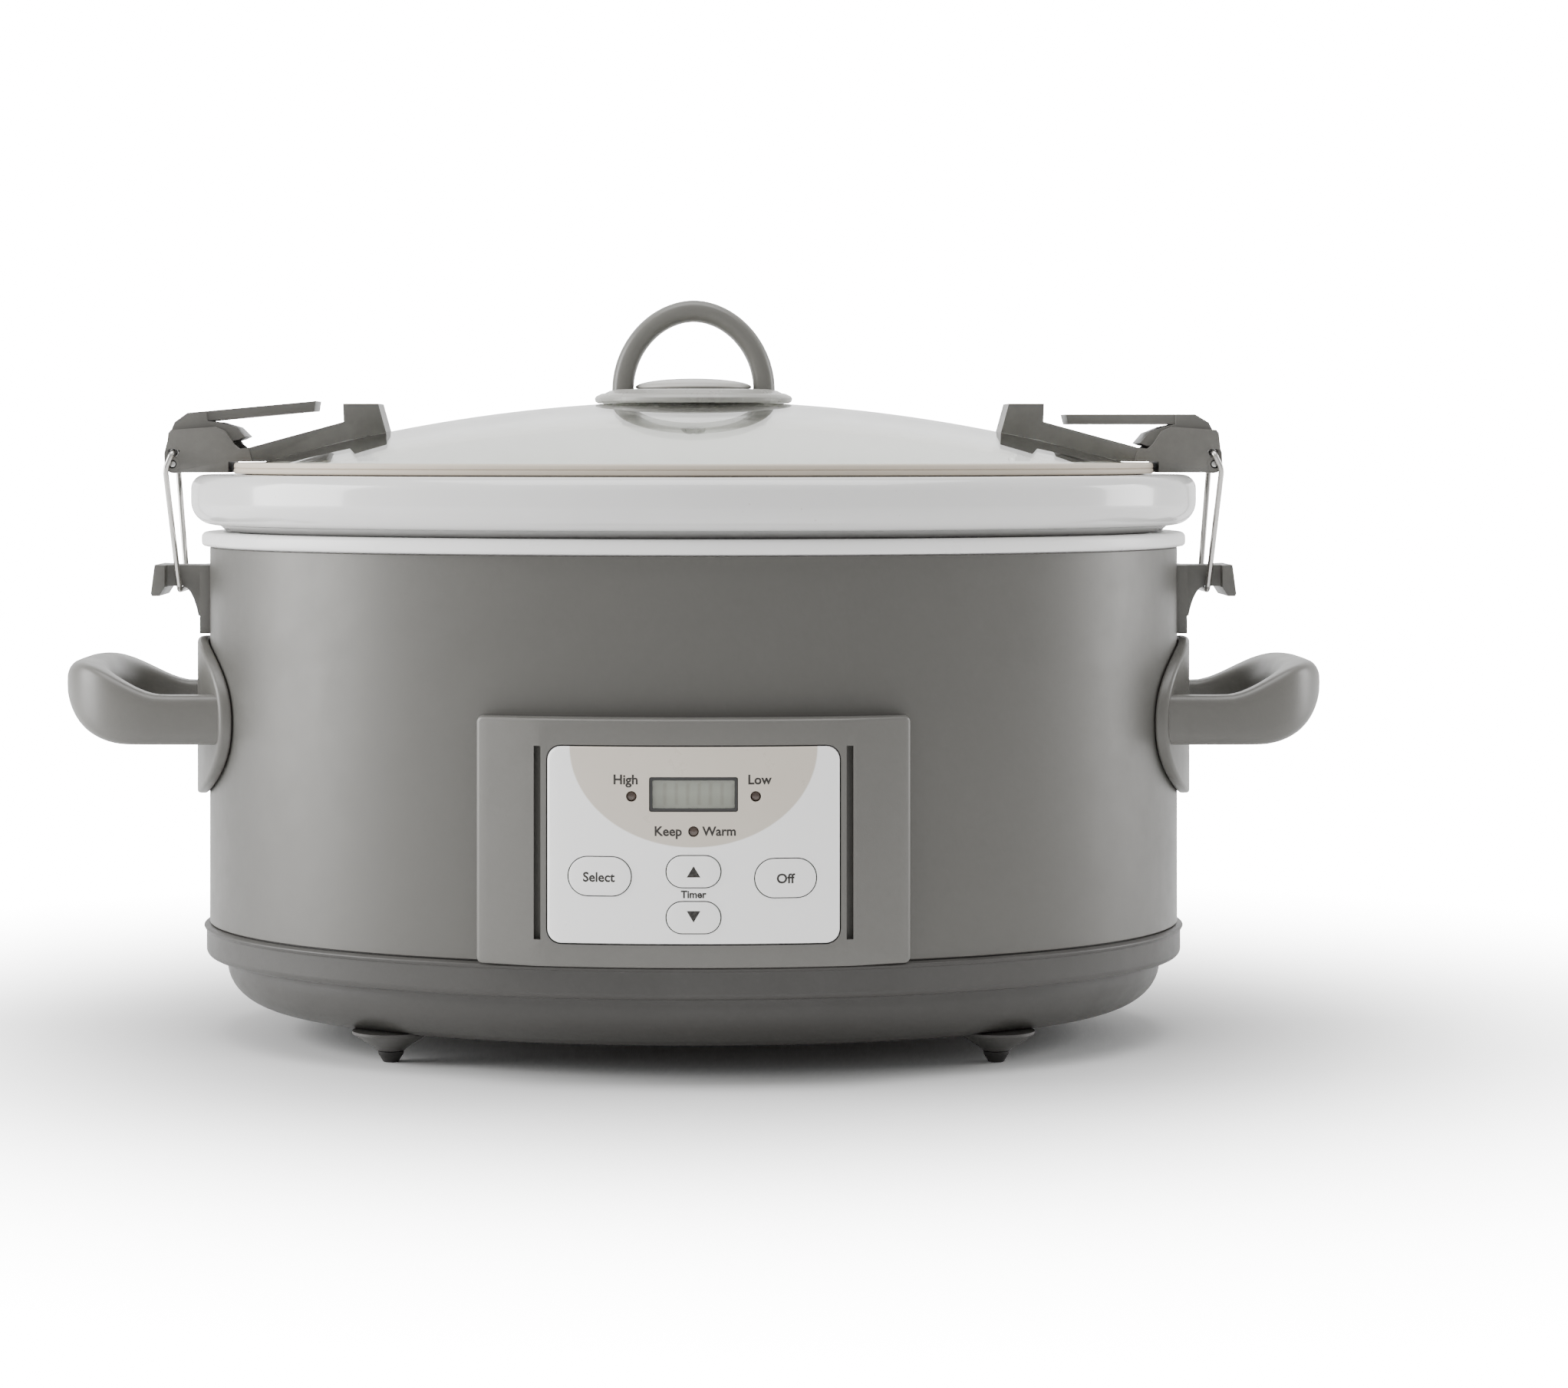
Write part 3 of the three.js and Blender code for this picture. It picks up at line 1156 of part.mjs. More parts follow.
function sideHandle() {
  const middle = (PLATE_BOTTOM + PLATE_TOP) / 2;
  const plateOutline = superellipse(PLATE_HALF_WIDTH, PLATE_TOP - middle, 2.3, 0, 345, 23)
    .map(([y, z]) => [y, z + middle]);
  const back = CAN_HALF_WIDTH + GAP;
  const plate = ovalShell(back, back + PLATE_THICKNESS, 0, PLATE_TOP + 1)
    .intersect(slabAlong(plateOutline, 0, BEYOND));
  const fingers = slabUp(gripPlan(GRIP_REACH - GRIP_BAR, GRIP_HALF_WIDTH - GRIP_LEG, 3), 0, BEYOND);
  const grip = slabAcross(gripSide(), -GRIP_HALF_WIDTH, GRIP_HALF_WIDTH)
    .intersect(slabUp(gripPlan(GRIP_REACH, GRIP_HALF_WIDTH, 3), 0, BEYOND))
    .subtract(fingers);
  const bores = Object.values(HANDLE_SCREW_HEIGHTS).map((z) =>
    rod(WALL_SCREW_RADIUS + GAP, [0, 0, z], [CAN_HALF_WIDTH + PLATE_THICKNESS - 0.6, 0, z], 8),
  );
  return cut(joined(plate, grip), canSwollen(), ...bores);
}

function wallScrew(z, depth) {
  const inside = CAN_HALF_WIDTH - CAN_WALL - GAP;
  return joined(
    rod(WALL_SCREW_HEAD, [inside - WALL_SCREW_HEAD_THICKNESS, 0, z], [inside - 0.15, 0, z]),
    rod(WALL_SCREW_RADIUS, [inside - 1, 0, z], [CAN_HALF_WIDTH + depth, 0, z], 8),
  );
}

// ---------------------------------------------------------------- assembly

const group = new THREE.Group();

function add(name, body, material) {
  const { vertProperties, triVerts } = body.getMesh();
  const geometry = new THREE.BufferGeometry();
  geometry.setAttribute("position", new THREE.BufferAttribute(vertProperties, 3));
  geometry.setIndex(new THREE.BufferAttribute(triVerts, 1));
  geometry.computeVertexNormals();
  const mesh = new THREE.Mesh(geometry, material);
  mesh.name = name;
  group.add(mesh);
}

function addBase() {
  add("outer_can", outerCan(), paintedSteel());
  add("heating_well", heatingWell(), aluminisedSteel());
  add("top_collar", topCollar(), whitePlastic());
  add("base_pan", basePan(), basePlastic());
  for (const place of footPlaces()) add(place.name, rubberFoot(place), blackRubber());
  add("base_screw_left", baseScrew(-CLAMP_OFFSET), zincSteel());
  add("base_screw_right", baseScrew(CLAMP_OFFSET), zincSteel());
  add("cord_gland", cordGland(), blackPlastic());
}

function addPanel() {
  add("control_bezel", controlBezel(), basePlastic());
  add("control_fascia", controlFascia(), whitePlastic());
  add("display_window", displayWindow(), clearGlass());
  add("display_module", displayModule(), displayGlass());
  for (const [name, light] of Object.entries(LIGHTS)) add(name, panelLight(light), lampPlastic());
  for (const [name, button] of Object.entries(BUTTONS)) add(name, panelButton(button), whitePlastic());
  add("control_board", controlBoard(), circuitBoard());
  add("panel_ribbon", panelRibbon(), paleGreyPlastic());
}

function addWorkings() {
  add("heater_band", heaterBand(), heaterMica());
  add("temperature_sensor", temperatureSensor(), aluminisedSteel());
  add("sensor_spring", sensorSpring(), springSteel());
  add("thermal_fuse", thermalFuse(), zincSteel());
  add("power_board", powerBoard(), circuitBoard());
  add("power_relay", boardComponent(20, 8, 19, 15), blackPlastic());
  add("power_transformer", boardComponent(-14, 0, 26, 22), paleGreyPlastic());
}

function addCrockAndLid() {
  add("stoneware_crock", crock(), stoneware());
  add("lid_glass", lidGlass(), clearGlass());
  add("lid_gasket", lidGasket(), tanSilicone());
  add("lid_handle", lidHandle(), greyPlastic());
  add("lid_handle_cap", lidHandleCap(), paleGreyPlastic());
  add("lid_handle_washer", lidHandleWasher(), paleGreyPlastic());
  add("lid_handle_screw", lidHandleScrew(), zincSteel());
}

function addSide(side, tilt, place) {
  add(`side_handle_${side}`, place(sideHandle()), greyPlastic());
  for (const [end, z] of Object.entries(HANDLE_SCREW_HEIGHTS)) {
    add(`handle_screw_${side}_${end}`, place(wallScrew(z, PLATE_THICKNESS - 1)), zincSteel());
  }
  add(`latch_hook_${side}`, place(latchHook()), greyPlastic());
  add(`hook_screw_${side}`, place(wallScrew(HOOK_SCREW_HEIGHT, HOOK_PLATE + 1)), zincSteel());
  add(`latch_base_${side}`, place(latchBase()), greyPlastic());
  add(`latch_screw_${side}`, place(latchScrew()), zincSteel());
  add(`lever_pin_${side}`, place(leverPin()), zincSteel());
  add(`latch_lever_${side}`, place(latchLever(tilt)), greyPlastic());
  add(`bail_sleeve_${side}`, place(bailSleeve(tilt)), zincSteel());
  add(`latch_bail_${side}`, place(bailWire(tilt)), springSteel());
}

addBase();
addPanel();
addWorkings();
addCrockAndLid();
addSide("left", LEFT_LEVER_TILT, mirrored);
addSide("right", RIGHT_LEVER_TILT, (body) => body);

export default group;
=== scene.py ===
"""The looks of an oval digital slow cooker with a stoneware crock and a glass lid held by two bail latches.

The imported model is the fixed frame. Shapes are drawn in millimetres in the frame's own axes:
+X to the right, -Y towards the control panel, +Z up, with the origin under the middle of the oval.
"""
import math

import bmesh
import bpy
from mathutils import Matrix, Vector


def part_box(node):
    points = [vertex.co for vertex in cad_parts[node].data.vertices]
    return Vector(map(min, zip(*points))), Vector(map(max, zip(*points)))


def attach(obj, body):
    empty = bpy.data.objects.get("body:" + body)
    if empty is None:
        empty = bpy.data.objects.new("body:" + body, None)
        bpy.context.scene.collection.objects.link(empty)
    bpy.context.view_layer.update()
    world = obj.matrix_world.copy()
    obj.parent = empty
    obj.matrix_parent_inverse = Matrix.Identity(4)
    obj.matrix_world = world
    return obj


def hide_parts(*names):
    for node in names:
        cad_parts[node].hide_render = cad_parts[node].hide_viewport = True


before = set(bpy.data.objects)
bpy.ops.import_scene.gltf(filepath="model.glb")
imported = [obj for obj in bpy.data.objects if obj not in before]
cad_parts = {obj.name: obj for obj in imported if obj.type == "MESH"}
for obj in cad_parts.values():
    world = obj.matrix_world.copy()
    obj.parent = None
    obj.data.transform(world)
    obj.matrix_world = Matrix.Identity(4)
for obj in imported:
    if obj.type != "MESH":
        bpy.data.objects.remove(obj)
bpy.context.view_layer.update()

MM = 0.001
SIDES = {"left": -1, "right": 1}
MERGE = 1e-4              # points closer than this are one point
HAIRLINE = 1e-6           # a distance that counts as none
FLAT_ANGLE = math.radians(1.5)
SHARP_ANGLE = math.radians(28)


def limits(node):
    """The lowest and highest corners of a node, in millimetres."""
    low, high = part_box(node)
    return Vector(low) / MM, Vector(high) / MM


# ---------------------------------------------------------------- sizes taken from the frame

CAN_LOW, CAN_HIGH = limits("outer_can")
HALF_WIDTH = CAN_HIGH.x
OVAL_DIFFERENCE = CAN_HIGH.x - CAN_HIGH.y
FULL_OVAL_RADIUS = 90     # inside this radius the ovals grow rounder towards the middle
OVAL_STEPS = 160
GAP = 0.3                 # the usual room between two pieces

COLLAR_LOW, COLLAR_HIGH = limits("top_collar")
PAN_HIGH = limits("base_pan")[1]
WELL_HIGH = limits("heating_well")[1]
CROCK_LOW, CROCK_HIGH = limits("stoneware_crock")
GASKET_LOW, GASKET_HIGH = limits("lid_gasket")
GLASS_HIGH = limits("lid_glass")[1]
KNOB_HIGH = limits("lid_handle")[1]
CAP_LOW, CAP_HIGH = limits("lid_handle_cap")
WASHER_LOW, WASHER_HIGH = limits("lid_handle_washer")
BEZEL_LOW, BEZEL_HIGH = limits("control_bezel")
FASCIA_LOW, FASCIA_HIGH = limits("control_fascia")
WINDOW_LOW, WINDOW_HIGH = limits("display_window")
GRIP_LOW, GRIP_HIGH = limits("side_handle_right")
GLAND_LOW, GLAND_HIGH = limits("cord_gland")


# ---------------------------------------------------------------- outlines

def arc(centre_x, centre_y, radius_x, radius_y, start, end, steps):
    """Points along part of an ellipse, with its angles in degrees."""
    angles = [math.radians(start + (end - start) * i / steps) for i in range(steps + 1)]
    return [(centre_x + radius_x * math.cos(a), centre_y + radius_y * math.sin(a)) for a in angles]


def superellipse(half_width, half_height, exponent, start, end, steps):
    """Points along an ellipse whose shoulders are filled out by an exponent above 2."""
    power = 2 / exponent
    return [
        (math.copysign(half_width * abs(c) ** power, c), math.copysign(half_height * abs(s) ** power, s))
        for c, s in arc(0, 0, 1, 1, start, end, steps)
    ]


def rounded_rectangle(x, z, half_width, half_height, corner, steps=6):
    """A rectangle with round corners, drawn anticlockwise about its middle."""
    across, up = half_width - corner, half_height - corner
    centres = [(across, up, 0), (-across, up, 90), (-across, -up, 180), (across, -up, 270)]
    return [
        point for cx, cz, turn in centres
        for point in arc(x + cx, z + cz, corner, corner, turn, turn + 90, steps)
    ]


def even_depth(radius):
    """The oval's half depth for a half width, so that a wall keeps one thickness all round."""
    return radius - OVAL_DIFFERENCE * min(1, radius / FULL_OVAL_RADIUS)


def dome_depth(radius):
    """The glass keeps the proportions of its own edge up to the top of the dome."""
    return radius * GLASS_HIGH.y / GLASS_HIGH.x


def round_depth(radius):
    return radius


# ---------------------------------------------------------------- making pieces

def moved(bm, way):
    bmesh.ops.translate(bm, vec=way, verts=bm.verts)
    return bm


def turned(bm, degrees, axis):
    turn = Matrix.Rotation(math.radians(degrees), 3, axis)
    bmesh.ops.rotate(bm, cent=(0, 0, 0), matrix=turn, verts=bm.verts)
    return bm


def rounded(bm, edges, width, segments=3, clamp=False):
    """Rounds off some edges."""
    bmesh.ops.bevel(
        bm, geom=edges, offset=width, segments=segments, profile=0.5, affect="EDGES", material=-1,
        clamp_overlap=clamp,
    )
    return bm


def grown(geometry):
    """The vertices among what an extrusion made."""
    return [item for item in geometry if isinstance(item, bmesh.types.BMVert)]


def press_oval(bm, depth_of):
    """Presses something turned about Z into the cooker's oval."""
    for vert in bm.verts:
        radius = math.hypot(vert.co.x, vert.co.y)
        if radius > HAIRLINE:
            vert.co.y *= depth_of(radius) / radius


def spun(profile, depth_of=even_depth, steps=OVAL_STEPS):
    """A profile of radius and height, turned about Z. It is closed unless it starts on the axis."""
    bm = bmesh.new()
    verts = [bm.verts.new((radius, 0, height)) for radius, height in profile]
    edges = [bm.edges.new(pair) for pair in zip(verts, verts[1:])]
    if profile[0][0] > 0:
        edges.append(bm.edges.new((verts[-1], verts[0])))
    bmesh.ops.spin(
        bm, geom=verts + edges, axis=(0, 0, 1), cent=(0, 0, 0),
        steps=steps, angle=math.tau, use_merge=True, use_duplicate=False,
    )
    bmesh.ops.remove_doubles(bm, verts=bm.verts, dist=MERGE)
    press_oval(bm, depth_of)
    bmesh.ops.recalc_face_normals(bm, faces=bm.faces)
    return bm


def slab(outline, near, far, bevel=0.0, segments=3):
    """An outline in X and Z, given thickness along Y, with its rims rounded off."""
    bm = bmesh.new()
    face = bm.faces.new([bm.verts.new((x, near, z)) for x, z in outline])
    pushed = bmesh.ops.extrude_face_region(bm, geom=[face])["geom"]
    bmesh.ops.translate(bm, vec=(0, far - near, 0), verts=grown(pushed))
    bmesh.ops.recalc_face_normals(bm, faces=bm.faces)
    if bevel:
        rims = [edge for edge in bm.edges if abs(edge.verts[0].co.y - edge.verts[1].co.y) < HAIRLINE]
        rounded(bm, rims, bevel, segments, clamp=True)
    return bm


def rod(radius, start, end, steps=32, bevel=0.0):
    """A round bar between two points."""
    start, end = Vector(start), Vector(end)
    turn = Vector((0, 0, 1)).rotation_difference(end - start).to_matrix().to_4x4()
    bm = bmesh.new()
    bmesh.ops.create_cone(
        bm, cap_ends=True, segments=steps, radius1=radius, radius2=radius, depth=(end - start).length,
        matrix=Matrix.Translation((start + end) / 2) @ turn,
    )
    if bevel:
        rims = [edge for edge in bm.edges if len(edge.link_faces[0].verts) != len(edge.link_faces[1].verts)]
        rounded(bm, rims, bevel)
    return bm


def block(low, high):
    """A box between two corners."""
    low, high = Vector(low), Vector(high)
    bm = bmesh.new()
    size = Matrix.Diagonal((*(high - low), 1))
    bmesh.ops.create_cube(bm, size=1, matrix=Matrix.Translation((low + high) / 2) @ size)
    return bm


def lofted(rings):
    """A solid skin over rings of points that all have the same number of points."""
    bm = bmesh.new()
    loops = []
    for ring in rings:
        circle = bmesh.ops.create_circle(bm, cap_ends=False, radius=1, segments=len(ring))["verts"]
        for vert, point in zip(circle, ring):
            vert.co = point
        loops.append({edge for vert in circle for edge in vert.link_edges})
    for loop in (loops[0], loops[-1]):
        bmesh.ops.edgeloop_fill(bm, edges=list(loop))
    for before, after in zip(loops, loops[1:]):
        bmesh.ops.bridge_loops(bm, edges=list(before | after))
    bmesh.ops.recalc_face_normals(bm, faces=bm.faces)
    return bm


def merged(*parts):
    """One bmesh holding every part."""
    whole = bmesh.new()
    for part in parts:
        mesh = bpy.data.meshes.new("part")
        part.to_mesh(mesh)
        part.free()
        whole.from_mesh(mesh)
        bpy.data.meshes.remove(mesh)
    return whole


def cut(target, tool):
    """Cuts one solid out of another."""
    holders = []
    for bm in (target, tool):
        mesh = bpy.data.meshes.new("cutting")
        bm.to_mesh(mesh)
        bm.free()
        holder = bpy.data.objects.new("cutting", mesh)
        bpy.context.collection.objects.link(holder)
        holders.append(holder)
    cutting = holders[0].modifiers.new("cut", "BOOLEAN")
    cutting.object = holders[1]
    cutting.operation = "DIFFERENCE"
    cutting.solver = "EXACT"
    result = bmesh.new()
    result.from_object(holders[0], bpy.context.evaluated_depsgraph_get())
    for holder in holders:
        mesh = holder.data
        bpy.data.objects.remove(holder)
        bpy.data.meshes.remove(mesh)
    bmesh.ops.remove_doubles(result, verts=result.verts, dist=MERGE)
    return result


def sliced(bm, normal, positions):
    """Adds cuts across a flat piece, so that it can be bent."""
    for position in positions:
        bmesh.ops.bisect_plane(
            bm, geom=bm.verts[:] + bm.edges[:] + bm.faces[:], dist=1e-5,
            plane_co=Vector(normal) * position, plane_no=normal,
        )
    return bm


def bent_to_front(bm):
    """Wraps a flat piece onto the front of the can. Its -Y was the distance out from the can."""
    for vert in bm.verts:
        radius = HALF_WIDTH - vert.co.y
        vert.co.y = -(radius - OVAL_DIFFERENCE) * math.sqrt(1 - (vert.co.x / radius) ** 2)
    return bm


def bent_to_end(bm):
    """Wraps a flat piece onto the right end of the can. Its X was the distance out from the can."""
    for vert in bm.verts:
        radius = HALF_WIDTH + vert.co.x
        vert.co.x = radius * math.sqrt(1 - (vert.co.y / (radius - OVAL_DIFFERENCE)) ** 2)
    return bm


def refined(node, width):
    """A copy of a node's mesh with its sharp edges rounded off, in millimetres."""
    bm = bmesh.new()
    bm.from_mesh(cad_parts[node].data)
    bmesh.ops.scale(bm, vec=(1 / MM,) * 3, verts=bm.verts)
    bmesh.ops.remove_doubles(bm, verts=bm.verts, dist=1e-3)
    bmesh.ops.dissolve_limit(bm, angle_limit=FLAT_ANGLE, verts=bm.verts, edges=bm.edges)
    sharp = [edge for edge in bm.edges if edge.is_manifold and edge.calc_face_angle(0) > SHARP_ANGLE]
    return rounded(bm, sharp, width, clamp=True)


def piece(name, bm, surface, body, slot, *nodes, crease=35):
    """Makes the finished object, in metres, and puts it on its body."""
    bmesh.ops.scale(bm, vec=(MM,) * 3, verts=bm.verts)
    mesh = bpy.data.meshes.new(name)
    bm.to_mesh(mesh)
    bm.free()
    mesh.materials.append(surface)
    mesh.shade_smooth()
    mesh.set_sharp_from_angle(angle=math.radians(crease))
    made = bpy.data.objects.new(name, mesh)
    bpy.context.collection.objects.link(made)
    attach(made, body)
    if nodes:
        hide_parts(*nodes)


def mirrored(bm):
    """The same piece on the left side."""
    bmesh.ops.scale(bm, vec=(-1, 1, 1), verts=bm.verts)
    bmesh.ops.reverse_faces(bm, faces=bm.faces)
    return bm


# ---------------------------------------------------------------- shared shader groups

class Wiring:
    """Short ways to add and join the nodes of one tree."""

    def __init__(self, tree):
        self.tree = tree

    def add(self, kind, **values):
        node = self.tree.nodes.new(kind)
        for name, value in values.items():
            setattr(node, name, value)
        return node

    def join(self, source, target):
        self.tree.links.new(source, target)

    def feed(self, socket, value):
        """Gives a socket a number, a colour or another node's output."""
        if isinstance(value, (int, float)):
            socket.default_value = value
        elif isinstance(value, tuple):
            socket.default_value = (*value, 1)
        else:
            self.join(value, socket)

    def coordinates(self):
        return self.add("ShaderNodeTexCoord").outputs["Object"]

    def axes(self, vector):
        split = self.add("ShaderNodeSeparateXYZ")
        self.join(vector, split.inputs[0])
        return split.outputs

    def math(self, operation, first, second=0, clamp=False):
        node = self.add("ShaderNodeMath", operation=operation, use_clamp=clamp)
        self.feed(node.inputs[0], first)
        self.feed(node.inputs[1], second)
        return node.outputs[0]

    def texture(self, kind, values, vector=None, **settings):
        """A texture on the piece's own coordinates, unless it is given others."""
        node = self.add(kind, **settings)
        self.join(vector or self.coordinates(), node.inputs["Vector"])
        for name, value in values.items():
            self.feed(node.inputs[name], value)
        return node.outputs

    def noise(self, scale, detail=4.0, roughness=0.55, vector=None):
        values = {"Scale": scale, "Detail": detail, "Roughness": roughness}
        return self.texture("ShaderNodeTexNoise", values, vector)["Fac"]

    def blend(self, mask, first, second):
        """Mixes two colours, each a tuple or a socket, by a mask."""
        node = self.add("ShaderNodeMix", data_type="RGBA")
        self.join(mask, node.inputs["Factor"])
        self.feed(node.inputs[6], first)
        self.feed(node.inputs[7], second)
        return node.outputs[2]

    def between(self, value, low, high, new_low=0.0, new_high=1.0, interpolation="LINEAR"):
        node = self.add("ShaderNodeMapRange", interpolation_type=interpolation)
        names = ("From Min", "From Max", "To Min", "To Max")
        for name, number in zip(names, (low, high, new_low, new_high)):
            node.inputs[name].default_value = number
        self.join(value, node.inputs["Value"])
        return node.outputs["Result"]

    def drift(self, value, new_low=0.0, new_high=1.0):
        """Stretches the middle of a noise, where most of it lies, over a new range."""
        return self.between(value, 0.3, 0.7, new_low, new_high)


def node_group(name, given, outputs):
    """An empty group with one input, given as its label, kind and value, and some outputs."""
    group = bpy.data.node_groups.new(name, "ShaderNodeTree")
    label, kind, value = given
    group.interface.new_socket(name=label, in_out="INPUT", socket_type=kind).default_value = value
    for output in outputs:
        group.interface.new_socket(name=output, in_out="OUTPUT", socket_type="NodeSocketFloat")
    wires = Wiring(group)
    return wires, wires.add("NodeGroupInput").outputs[label], wires.add("NodeGroupOutput").inputs


def moulded_skin_group():
    """Fine pebbled skin: a height for bump, a slow drift of tone and a drift of gloss."""
    wires, scale, out = node_group(
        "moulded_skin", ("Grain Scale", "NodeSocketFloat", 2600.0), ("Height", "Tone", "Gloss"),
    )
    grain = wires.noise(scale, 3.0, 0.5)
    pores = wires.texture("ShaderNodeTexVoronoi", {"Scale": scale}, feature="F1")["Distance"]
    wires.join(wires.math("ADD", grain, wires.math("MULTIPLY", pores, 0.6)), out["Height"])
    wires.join(wires.noise(14.0, 5.0, 0.6), out["Tone"])
    wires.join(wires.noise(70.0, 6.0, 0.65), out["Gloss"])
    return wires.tree


def edge_wear_group():
    """A mask of rubbed edges, broken up so that they wear in places."""
    wires, amount, out = node_group("edge_wear", ("Amount", "NodeSocketFloat", 0.5), ("Mask",))
    sharpness = wires.add("ShaderNodeNewGeometry").outputs["Pointiness"]
    edges = wires.between(sharpness, 0.52, 0.62)
    patches = wires.between(wires.noise(90.0, 5.0, 0.7), 0.35, 0.7)
    rubbed = wires.math("MULTIPLY", edges, patches, clamp=True)
    wires.join(wires.math("MULTIPLY", rubbed, amount, clamp=True), out["Mask"])
    return wires.tree


def resting_dust_group():
    """A faint film on what faces up."""
    wires, amount, out = node_group("resting_dust", ("Amount", "NodeSocketFloat", 0.2), ("Mask",))
    facing = wires.axes(wires.add("ShaderNodeNewGeometry").outputs["Normal"])
    upward = wires.between(facing["Z"], 0.3, 1.0)
    patches = wires.between(wires.noise(45.0, 6.0, 0.7), 0.3, 0.8)
    film = wires.math("MULTIPLY", upward, patches, clamp=True)
    wires.join(wires.math("MULTIPLY", film, amount, clamp=True), out["Mask"])
    return wires.tree


def drawn_metal_group():
    """Long fine lines drawn along one axis of the metal, with a drift of gloss."""
    wires, across, out = node_group(
        "drawn_metal", ("Across", "NodeSocketVector", (30.0, 30.0, 3000.0)), ("Height", "Gloss"),
    )
    stretch = wires.add("ShaderNodeVectorMath", operation="MULTIPLY")
    wires.join(wires.coordinates(), stretch.inputs[0])
    wires.join(across, stretch.inputs[1])
    lines = wires.noise(1.0, 3.0, 0.5, stretch.outputs["Vector"])
    wires.join(lines, out["Height"])
    wires.join(wires.drift(lines), out["Gloss"])
    return wires.tree


MOULDED_SKIN = moulded_skin_group()
EDGE_WEAR = edge_wear_group()
RESTING_DUST = resting_dust_group()
DRAWN_METAL = drawn_metal_group()


# ---------------------------------------------------------------- surfaces

DUST_COLOUR = (0.62, 0.60, 0.57)
RUBBED_PRINT = (0.7, 0.69, 0.67)
SKIN_STRENGTH = 0.3


def shade(colour, factor):
    return tuple(min(1.0, channel * factor) for channel in colour)


class Surface(Wiring):
    """A material with its one Principled shader, and the nodes that vary it."""

    def __init__(self, name, roughness, metallic=0.0, specular=0.5, coat=0.0, coat_roughness=0.1):
        self.material = bpy.data.materials.new(name)
        self.material.use_nodes = True
        super().__init__(self.material.node_tree)
        self.shader = self.tree.nodes["Principled BSDF"]
        self.shader.inputs["Roughness"].default_value = roughness
        self.shader.inputs["Metallic"].default_value = metallic
        self.shader.inputs["Specular IOR Level"].default_value = specular
        self.shader.inputs["Coat Weight"].default_value = coat
        self.shader.inputs["Coat Roughness"].default_value = coat_roughness

    def group(self, tree, name, value):
        node = self.add("ShaderNodeGroup", node_tree=tree)
        node.inputs[name].default_value = value
        return node.outputs

    def paint(self, colour):
        self.join(colour, self.shader.inputs["Base Color"])

    def rough(self, value):
        self.join(value, self.shader.inputs["Roughness"])

    def emboss(self, height, strength, distance):
        bump = self.add("ShaderNodeBump")
        bump.inputs["Strength"].default_value = strength
        bump.inputs["Distance"].default_value = distance
        self.join(height, bump.inputs["Height"])
        self.join(bump.outputs["Normal"], self.shader.inputs["Normal"])

    def make_glass(self, refraction):
        self.shader.inputs["Transmission Weight"].default_value = 1.0
        self.shader.inputs["IOR"].default_value = refraction

    def show_instead(self, ray, other):
        """Gives one kind of ray another shader."""
        choose = self.add("ShaderNodeMixShader")
        self.join(self.add("ShaderNodeLightPath").outputs[ray], choose.inputs["Fac"])
        self.join(self.shader.outputs["BSDF"], choose.inputs[1])
        self.join(other.outputs["BSDF"], choose.inputs[2])
        self.join(choose.outputs["Shader"], self.tree.nodes["Material Output"].inputs["Surface"])

    def let_light_through(self, tint):
        """Lets light pass straight through glass, so that what is behind it isn't left in the dark."""
        clear = self.add("ShaderNodeBsdfTransparent")
        clear.inputs["Color"].default_value = (*tint, 1)
        self.show_instead("Is Shadow Ray", clear)


def worn_skin(surface, colour, roughness, grain=2600.0, depth=0.00003, tint=0.05, wear=0.35, dust=0.12):
    """The usual finish of a moulded or painted piece: skin, tone, rubbed edges and a film of dust.

    The colour is a tuple, or a socket where it is a pattern already.
    """
    skin = surface.group(MOULDED_SKIN, "Grain Scale", grain)
    toned, pale = colour, RUBBED_PRINT
    if isinstance(colour, tuple):
        toned = surface.blend(surface.drift(skin["Tone"]), shade(colour, 1 - tint), shade(colour, 1 + tint))
        pale = shade(colour, 1.5)
    rubbed = surface.blend(surface.group(EDGE_WEAR, "Amount", wear)["Mask"], toned, pale)
    surface.paint(surface.blend(surface.group(RESTING_DUST, "Amount", dust)["Mask"], rubbed, DUST_COLOUR))
    surface.rough(surface.drift(skin["Gloss"], roughness - 0.04, roughness + 0.05))
    surface.emboss(skin["Height"], SKIN_STRENGTH, depth)
    return surface.material


def moulded(name, colour, roughness, specular=0.5, **finish):
    """A plain moulded plastic or rubber."""
    return worn_skin(Surface(name, roughness, specular=specular), colour, roughness, **finish)


def can_paint():
    surface = Surface("satin_graphite_paint", 0.42, metallic=0.35, coat=0.12, coat_roughness=0.32)
    colour = (0.094, 0.0915, 0.084)
    return worn_skin(surface, colour, 0.42, grain=3800.0, depth=0.00002, tint=0.03, wear=0.1, dust=0.05)


def bezel_paint():
    surface = Surface("satin_graphite_bezel", 0.4, metallic=0.2)
    return worn_skin(surface, (0.124, 0.121, 0.112), 0.4, grain=3000.0, tint=0.03, wear=0.3, dust=0.08)


def base_plastic():
    colour = (0.043, 0.0412, 0.0378)
    return moulded("dark_base_plastic", colour, 0.46, grain=2200.0, depth=0.00004, wear=0.25, dust=0.06)


def grip_plastic():
    return moulded("warm_grey_plastic", (0.110, 0.107, 0.098), 0.36, grain=2400.0, wear=0.4, dust=0.1)


def knob_plastic():
    return moulded("knob_plastic", (0.135, 0.132, 0.120), 0.34, dust=0.08)


def disc_plastic():
    return moulded("pale_disc_plastic", (0.33, 0.325, 0.305), 0.26, wear=0.2, dust=0.06)


def pale_plastic():
    return moulded("pale_grey_plastic", (0.42, 0.41, 0.385), 0.32, wear=0.1, dust=0.06)


def white_plastic():
    return moulded(
        "off_white_plastic", (0.83, 0.825, 0.815), 0.3,
        grain=3000.0, depth=0.00002, tint=0.015, wear=0.0, dust=0.08,
    )


